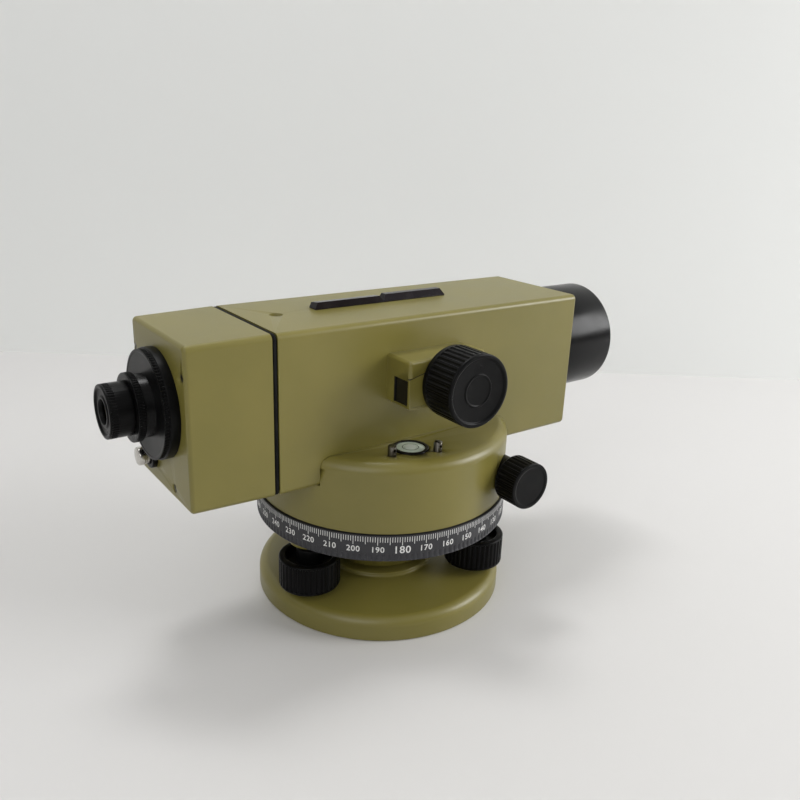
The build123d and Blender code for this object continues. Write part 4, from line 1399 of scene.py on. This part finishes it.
@dataclass
class Eyepiece:
    """The knurled rings and the dioptre barrel behind the casing."""

    kit: Kit
    casing: float = 107.3
    ring_front: float = 113.3
    ring_rim: float = 22.4
    grip_width: float = 2.2
    grip_rim: float = 21.9
    neck: float = 12.6
    neck_bore: float = 9.8
    neck_end: float = 117.0
    lock_end: float = 120.0
    lock_rim: float = 13.7
    lock_margin: float = 0.35
    barrel_inset: float = 1.7
    barrel_start: float = 120.3
    barrel_end: float = 129.6
    barrel_rim: float = 10.7
    barrel_bore: float = 8.85
    barrel_play: float = 0.05
    eye_hole: float = 4.6

    def cover(self) -> bpy.types.Object:
        """Makes the large ring: a smooth band and a knurled front rim.

        Returns:
            The ring.
        """
        band_end = self.ring_front - self.grip_width
        grip = Grip(96, 0.45, self.grip_rim, band_end + 0.2, self.ring_front - 0.25, fade=0.25)
        corners = (
            (self.casing, self.neck, 0.1),
            (self.casing, self.ring_rim, 0.2),
            (band_end, self.ring_rim, 0.3),
            (band_end + 0.15, self.grip_rim, 0.05),
            *grip.rows(),
            (self.ring_front, self.grip_rim, 0.2),
            (self.ring_front, self.grip_rim - 1.0, 0.1),
            (self.ring_front - 0.15, self.grip_rim - 1.3, 0.1),
            (self.ring_front - 0.15, self.neck, 0.1),
        )
        return turned("eyepiece_cover", EYE_AXLE, corners, grip, loop=True)

    def lock(self) -> bpy.types.Object:
        """Makes the knurled lock ring on the neck.

        Returns:
            The ring.
        """
        first, last = self.neck_end + self.lock_margin, self.lock_end - self.lock_margin
        grip = Grip(76, 0.4, self.lock_rim, first, last, fade=0.25)
        corners = (
            (self.neck_end, self.neck_bore, 0.1),
            (self.neck_end, self.lock_rim, 0.3),
            *grip.rows(),
            (self.lock_end, self.lock_rim, 0.3),
            (self.lock_end, self.neck_bore, 0.1),
        )
        return turned("lock_grip", EYE_AXLE, corners, grip, loop=True)

    def barrel(self) -> bpy.types.Object:
        """Makes the dioptre barrel: a smooth sleeve with a serrated rear rim and eye hole.

        Returns:
            The barrel.
        """
        start, end = self.neck_end + self.barrel_inset, self.barrel_end
        sleeve = self.neck_bore - self.barrel_play
        grip = Grip(56, 0.35, self.barrel_rim, end - 3.3, end - 0.75, fade=0.3)
        corners = (
            (start, self.barrel_bore, 0.1),
            (start, sleeve, 0.1),
            (self.barrel_start, sleeve, 0.0),
            (self.barrel_start, self.barrel_rim, 0.3),
            *grip.rows(),
            (end, self.barrel_rim, 0.6),
            (end, self.barrel_rim - 1.3, 0.3),
            (end - 0.7, self.barrel_rim - 1.9, 0.3),
            (end - 0.7, self.eye_hole + 2.0, 0.2),
            (end - 0.2, self.eye_hole + 1.4, 0.25),
            (end - 0.2, self.eye_hole + 0.5, 0.25),
            (end - 1.6, self.eye_hole, 0.2),
            (end - 1.6, self.barrel_bore, 0.1),
        )
        return turned("dioptre_grip", EYE_AXLE, corners, grip, loop=True)

    def build(self) -> None:
        """Builds the rings and the barrel."""
        self.kit.instead(self.cover(), "cover_ring")
        self.kit.skin("eyepiece_mount")
        self.kit.instead(self.lock(), "lock_ring")
        self.kit.instead(self.barrel(), "dioptre_barrel")


@dataclass
class CheckButton:
    """The nickel button of the compensator's check, in its black collar."""

    kit: Kit
    y: float = 12.7
    z: float = 84.2
    front: float = 114.0
    head: float = 3.2
    head_rim: float = 3.9
    flange: float = 0.9
    flange_step: float = 0.2
    stem: float = 2.2
    stem_end: float = 70.0
    casing: float = 107.3
    collar_length: float = 2.1
    collar_rim: float = 5.9
    collar_play: float = 0.3

    def axle(self) -> Axle:
        """Returns the button's axis, which points out of the casing."""
        return Axle((0.0, self.y, self.z), REAR, NEAR)

    def button(self) -> bpy.types.Object:
        """Makes the button: a stepped head on a stem.

        Returns:
            The button.
        """
        back = self.front - self.head
        low_rim = self.head_rim - self.flange_step
        corners = (
            (self.stem_end, 0.0, 0.0),
            (self.stem_end, self.stem, 0.2),
            (back, self.stem, 0.2),
            (back, low_rim, 0.3),
            (back + self.flange, low_rim, 0.1),
            (back + self.flange + 0.1, self.head_rim, 0.1),
            (self.front, self.head_rim, 0.7),
            (self.front, 0.0, 0.0),
        )
        return turned("button_head", self.axle(), corners, columns=64)

    def collar(self) -> bpy.types.Object:
        """Makes the collar on the casing.

        Returns:
            The collar.
        """
        end = self.casing + self.collar_length
        bore = self.head_rim + self.collar_play
        corners = (
            (self.casing, bore, 0.1),
            (self.casing, self.collar_rim, 0.1),
            (end, self.collar_rim, 0.5),
            (end, bore, 0.3),
        )
        return turned("button_ring", self.axle(), corners, loop=True, columns=64)

    def build(self) -> None:
        """Builds the button and the collar."""
        self.kit.instead(self.button(), "check_button")
        self.kit.instead(self.collar(), "button_collar")


@dataclass
class CircularLevel:
    """The circular level: a black cup with glass in it, the bubble and a mark round it."""

    kit: Kit
    x: float = -12.9
    y: float = -39.6
    dome: float = 85.0
    top: float = 85.6
    depth: float = 9.0
    floor: float = 1.5
    rim: float = 8.0
    glass: float = 6.4
    glass_inset: float = 0.45
    glass_bulge: float = 0.35
    bubble_inset: float = 0.12
    bubble_rim: float = 2.5
    mark_radius: float = 3.5
    mark_half: float = 0.14
    mark_height: float = 0.08

    def axle(self) -> Axle:
        """Returns the level's upright axis."""
        return Axle((self.x, self.y, 0.0), UP, FRONT)

    def case(self) -> bpy.types.Object:
        """Makes the cup, whose rounded ring stands a little above the dome.

        Returns:
            The cup.
        """
        low = self.dome - self.depth
        corners = (
            (low, 0.0, 0.0),
            (low, self.rim, 0.3),
            (self.top, self.rim, 0.35),
            (self.top, self.glass, 0.2),
            (low + self.floor, self.glass, 0.2),
            (low + self.floor, 0.0, 0.0),
        )
        return turned("level_ring", self.axle(), corners, columns=96)

    def lid(self) -> bpy.types.Object:
        """Makes the glass, domed above: rise = bulge * (1 - (r / rim)^2).

        Returns:
            The glass.
        """
        low = self.dome - self.depth + self.floor
        edge = self.top - self.glass_inset
        dome = [
            (edge + self.glass_bulge * (1 - share * share), self.glass * share, 0.0)
            for share in np.linspace(1, 0, 8)
        ]
        corners = ((low, 0.0, 0.0), (low, self.glass, 0.1), *dome)
        return turned("level_glass", self.axle(), corners, columns=64)

    def bubble(self) -> bpy.types.Object:
        """Makes the bubble, a low disc in the glass's top.

        Returns:
            The bubble.
        """
        face = self.top - self.bubble_inset
        corners = (
            (face - 0.05, 0.0, 0.0),
            (face - 0.05, self.bubble_rim, 0.02),
            (face + 0.1, self.bubble_rim - 0.2, 0.1),
            (face + 0.13, 0.0, 0.0),
        )
        return turned("level_bubble", self.axle(), corners, columns=48)

    def mark(self) -> bpy.types.Object:
        """Makes the thin ring that marks the level's middle.

        Returns:
            The ring.
        """
        low = self.top - 2 * self.bubble_inset
        high = low + self.mark_height
        inner, outer = self.mark_radius - self.mark_half, self.mark_radius + self.mark_half
        corners = (
            (low, inner, 0.0),
            (low, outer, 0.0),
            (high, outer, 0.03),
            (high, inner, 0.03),
        )
        return turned("level_mark", self.axle(), corners, loop=True, columns=64)

    def build(self) -> None:
        """Builds the cup, the glass, the bubble and the mark."""
        self.kit.instead(self.case(), "level_case")
        self.kit.instead(self.lid(), "level_vial", Palette.VIAL)
        self.kit.beside(self.bubble(), "level_vial", Palette.BUBBLE)
        self.kit.beside(self.mark(), "level_vial", Palette.VIAL_MARKS)


@dataclass
class Screws:
    """The recessed screws of the casing and the plug in the housing's top, whose black finish is
    painted shade that darkens its hole.

    The heads' proportions are shares of their radius and of their thickness.
    """

    kit: Kit
    casing_face: float = 106.3
    casing_places: tuple[tuple[float, float], ...] = (
        (-24.8, 127.2),
        (25.5, 127.2),
        (-10.7, 77.6),
        (24.5, 84.5),
    )
    casing_rim: float = 1.8
    casing_thickness: float = 0.6
    plug_x: float = -56.0
    plug_top: float = 139.1
    plug_inset: float = 1.2
    plug_rim: float = 2.9
    plug_thickness: float = 0.7
    plug_turn: float = 0.6
    columns: int = 48
    slot_length: float = 0.86
    slot_width: float = 0.17
    slot_depth: float = 0.45

    def slotted(
        self, name: str, axle: Axle, rim: float, thick: float, turn: float
    ) -> bpy.types.Object:
        """Makes a slotted screw head that stands on reach 0.

        The slot's outline is a rectangle: at the angle a from the slot's direction its radius is
        the smaller of length / |cos a| and width / |sin a|.

        Args:
            name: the object's name.
            axle: the screw's axis.
            rim: the head's radius in millimetres.
            thick: its thickness in millimetres.
            turn: the slot's angle in radians.

        Returns:
            The head.
        """
        angles = np.arange(self.columns) * 2 * np.pi / self.columns
        bearing = angles - turn
        slot = np.minimum(
            self.slot_length * rim / np.maximum(np.abs(np.cos(bearing)), SMALLEST_SINE),
            self.slot_width * rim / np.maximum(np.abs(np.sin(bearing)), SMALLEST_SINE),
        )
        edge = np.outer((0.0, 0.96, 1.0, 1.0, 0.93), np.full(self.columns, rim))
        radius = np.vstack([edge, slot, slot, 0 * slot])
        floor = thick - self.slot_depth * thick
        heights = (-0.3, -0.3, -0.2, 0.8 * thick, thick, thick, floor, floor)
        reach, angle = np.meshgrid(heights, angles, indexing="ij")
        return grid_object(name, axle.place(reach, radius, angle), loop=False)

    def build(self) -> None:
        """Builds the visible heads on the screws that the CAD holds."""
        for index, (y, z) in enumerate(self.casing_places):
            axle = Axle((-self.casing_face, y, z), REAR, NEAR)
            name = f"casing_screw_head_{index + 1}"
            head = self.slotted(name, axle, self.casing_rim, self.casing_thickness, index)
            self.kit.beside(head, "casing_screws", Palette.DARK_STEEL)
        # The plug is olive like the housing; its black finish is painted shade, which darkens the
        # hole in the housing's top.
        axle = Axle((self.plug_x, 0.0, self.plug_top - self.plug_inset), UP, FRONT)
        plug = self.slotted("top_plug", axle, self.plug_rim, self.plug_thickness, self.plug_turn)
        self.kit.beside(plug, "telescope_housing", Palette.LINING)


# Surroundings


@dataclass(frozen=True)
class Lamp:
    """A square soft lamp that faces the object, with lengths in metres and power in watts."""

    name: str
    place: Triple
    size: float
    power: float
    aim: Triple = (0.0, 0.0, 0.08)

    def build(self) -> None:
        """Adds the lamp to the scene."""
        data = bpy.data.lights.new(self.name, "AREA")
        data.shape = "SQUARE"
        data.size = self.size
        data.energy = self.power
        holder = bpy.data.objects.new(self.name, data)
        bpy.context.scene.collection.objects.link(holder)
        holder.location = self.place
        beam = Vector(self.aim) - Vector(self.place)
        holder.rotation_euler = beam.to_track_quat("-Z", "Y").to_euler()


@dataclass
class Surroundings:
    """Camera, table, wall, lamps and world, as in a small photo studio, in metres."""

    eye: Triple = (-204.85 * MM, -290.26 * MM, 216.08 * MM)
    azimuth: float = math.radians(-36.49)
    elevation: float = math.radians(19.12)
    roll: float = math.radians(2.08)
    focal_pixels: float = 789.56
    frame_pixels: float = 800.0
    sensor: float = 36.0
    clip_start: float = 0.01
    wall_distance: float = 0.725
    wall_height: float = 2.5
    reach: float = 4.0
    table_colour: Triple = (0.66, 0.65, 0.64)
    wall_colour: Triple = (0.88, 0.89, 0.87)
    stage_shade: float = 0.97
    stage_drift: float = 0.4
    stage_roughness: float = 0.55
    lamps: tuple[Lamp, ...] = (
        Lamp("key_lamp", (1.2, -0.9, 0.65), 0.7, 16.0),
        Lamp("ceiling_lamp", (0.0, 0.4, 1.3), 0.35, 7.0),
        Lamp("fill_lamp", (-1.3, -0.9, 0.9), 1.2, 8.0),
    )
    sky_strength: float = 0.54
    sky: tuple[tuple[float, Triple], ...] = (
        (0.0, (0.25, 0.25, 0.25)),
        (0.25, (0.35, 0.35, 0.36)),
        (0.6, (1.0, 1.0, 1.0)),
    )

    def camera_axes(self) -> tuple[Vector, Vector, Vector]:
        """Works out the camera's directions.

        The camera looks horizontally along (-sin a, cos a), tilts down by the elevation and
        rolls about its own axis.

        Returns:
            Right, up and backward.
        """
        a, e, r = self.azimuth, self.elevation, self.roll
        forward = Vector((-math.sin(a) * math.cos(e), math.cos(a) * math.cos(e), -math.sin(e)))
        level = Vector((math.cos(a), math.sin(a), 0.0))
        upright = level.cross(forward)
        right = level * math.cos(r) + upright * math.sin(r)
        up = upright * math.cos(r) - level * math.sin(r)
        return right, up, -forward

    def camera(self) -> None:
        """Places the camera where the photograph was taken."""
        data = bpy.data.cameras.new("camera")
        data.sensor_width = self.sensor
        data.lens = self.focal_pixels / self.frame_pixels * self.sensor
        data.clip_start = self.clip_start
        holder = bpy.data.objects.new("camera", data)
        bpy.context.scene.collection.objects.link(holder)
        turn = Matrix(self.camera_axes()).transposed().to_4x4()
        holder.matrix_world = Matrix.Translation(Vector(self.eye)) @ turn
        bpy.context.scene.camera = holder

    def plane(self, name: str, corners: Sequence[Vector], colour: Triple) -> None:
        """Adds one flat, matt stage piece.

        Args:
            name: the name of the piece and of its material.
            corners: its four corners in metres.
            colour: its colour, which drifts to a slightly darker one.
        """
        places = np.array([tuple(corner) for corner in corners])
        made = mesh_object(name, places, np.array([[0, 1, 2, 3]]))
        graph = Graph(bpy.data.materials.new(name))
        darker = tuple(self.stage_shade * part for part in colour)
        drift = graph.noise(self.stage_drift, detail=2.0)
        paint = graph.mix(drift, darker, colour)
        made.data.materials.append(graph.surface(Base_Color=paint, Roughness=self.stage_roughness))

    def stage(self) -> None:
        """Adds the table and the wall behind it, square to the camera's line of sight."""
        _, _, back = self.camera_axes()
        ahead = Vector((-back.x, -back.y, 0.0)).normalized()
        side = Vector((ahead.y, -ahead.x, 0.0)) * self.reach
        foot = Vector((self.eye[0], self.eye[1], 0.0)) + ahead * self.wall_distance
        near = foot - ahead * self.reach
        top = foot + Vector((0.0, 0.0, self.wall_height))
        table = (near - side, near + side, foot + side, foot - side)
        wall = (foot - side, foot + side, top + side, top - side)
        self.plane("table", table, self.table_colour)
        self.plane("wall", wall, self.wall_colour)

    def world(self) -> None:
        """Gives the world a pale light that falls off towards the horizon.

        Its colour is the ramp sky at the height of the unit direction that is looked in.
        """
        world = bpy.data.worlds.new("studio")
        bpy.context.scene.world = world
        graph = Graph(world)
        direction = graph.node("ShaderNodeTexCoord")
        parts = graph.node("ShaderNodeSeparateXYZ", socket_0=direction.outputs["Generated"])
        ramp = graph.node("ShaderNodeValToRGB", {"ramp": self.sky}, Fac=parts.outputs["Z"])
        light = graph.node(
            "ShaderNodeBackground", Color=ramp.outputs["Color"], Strength=self.sky_strength
        )
        graph.node("ShaderNodeOutputWorld", Surface=light.outputs[0])

    def build(self) -> None:
        """Adds everything round the object."""
        bpy.context.scene.view_settings.view_transform = "Standard"
        self.camera()
        self.stage()
        for lamp in self.lamps:
            lamp.build()
        self.world()


def main() -> None:
    """Builds the object's pieces and its surroundings."""
    logging.basicConfig(level=logging.INFO, format="%(name)s: %(message)s")
    kit = Kit(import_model())
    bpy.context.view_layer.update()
    Surroundings().build()
    assemblies = (
        Castings,
        FootScrews,
        GraduatedCircle,
        HorizontalDrive,
        FocusDrive,
        Objective,
        Eyepiece,
        CheckButton,
        CircularLevel,
        Screws,
    )
    for assembly in assemblies:
        assembly(kit).build()
    LOG.info("%d CAD nodes have a finer piece in their place", len(kit.replaced))


if __name__ == "__main__":
    main()
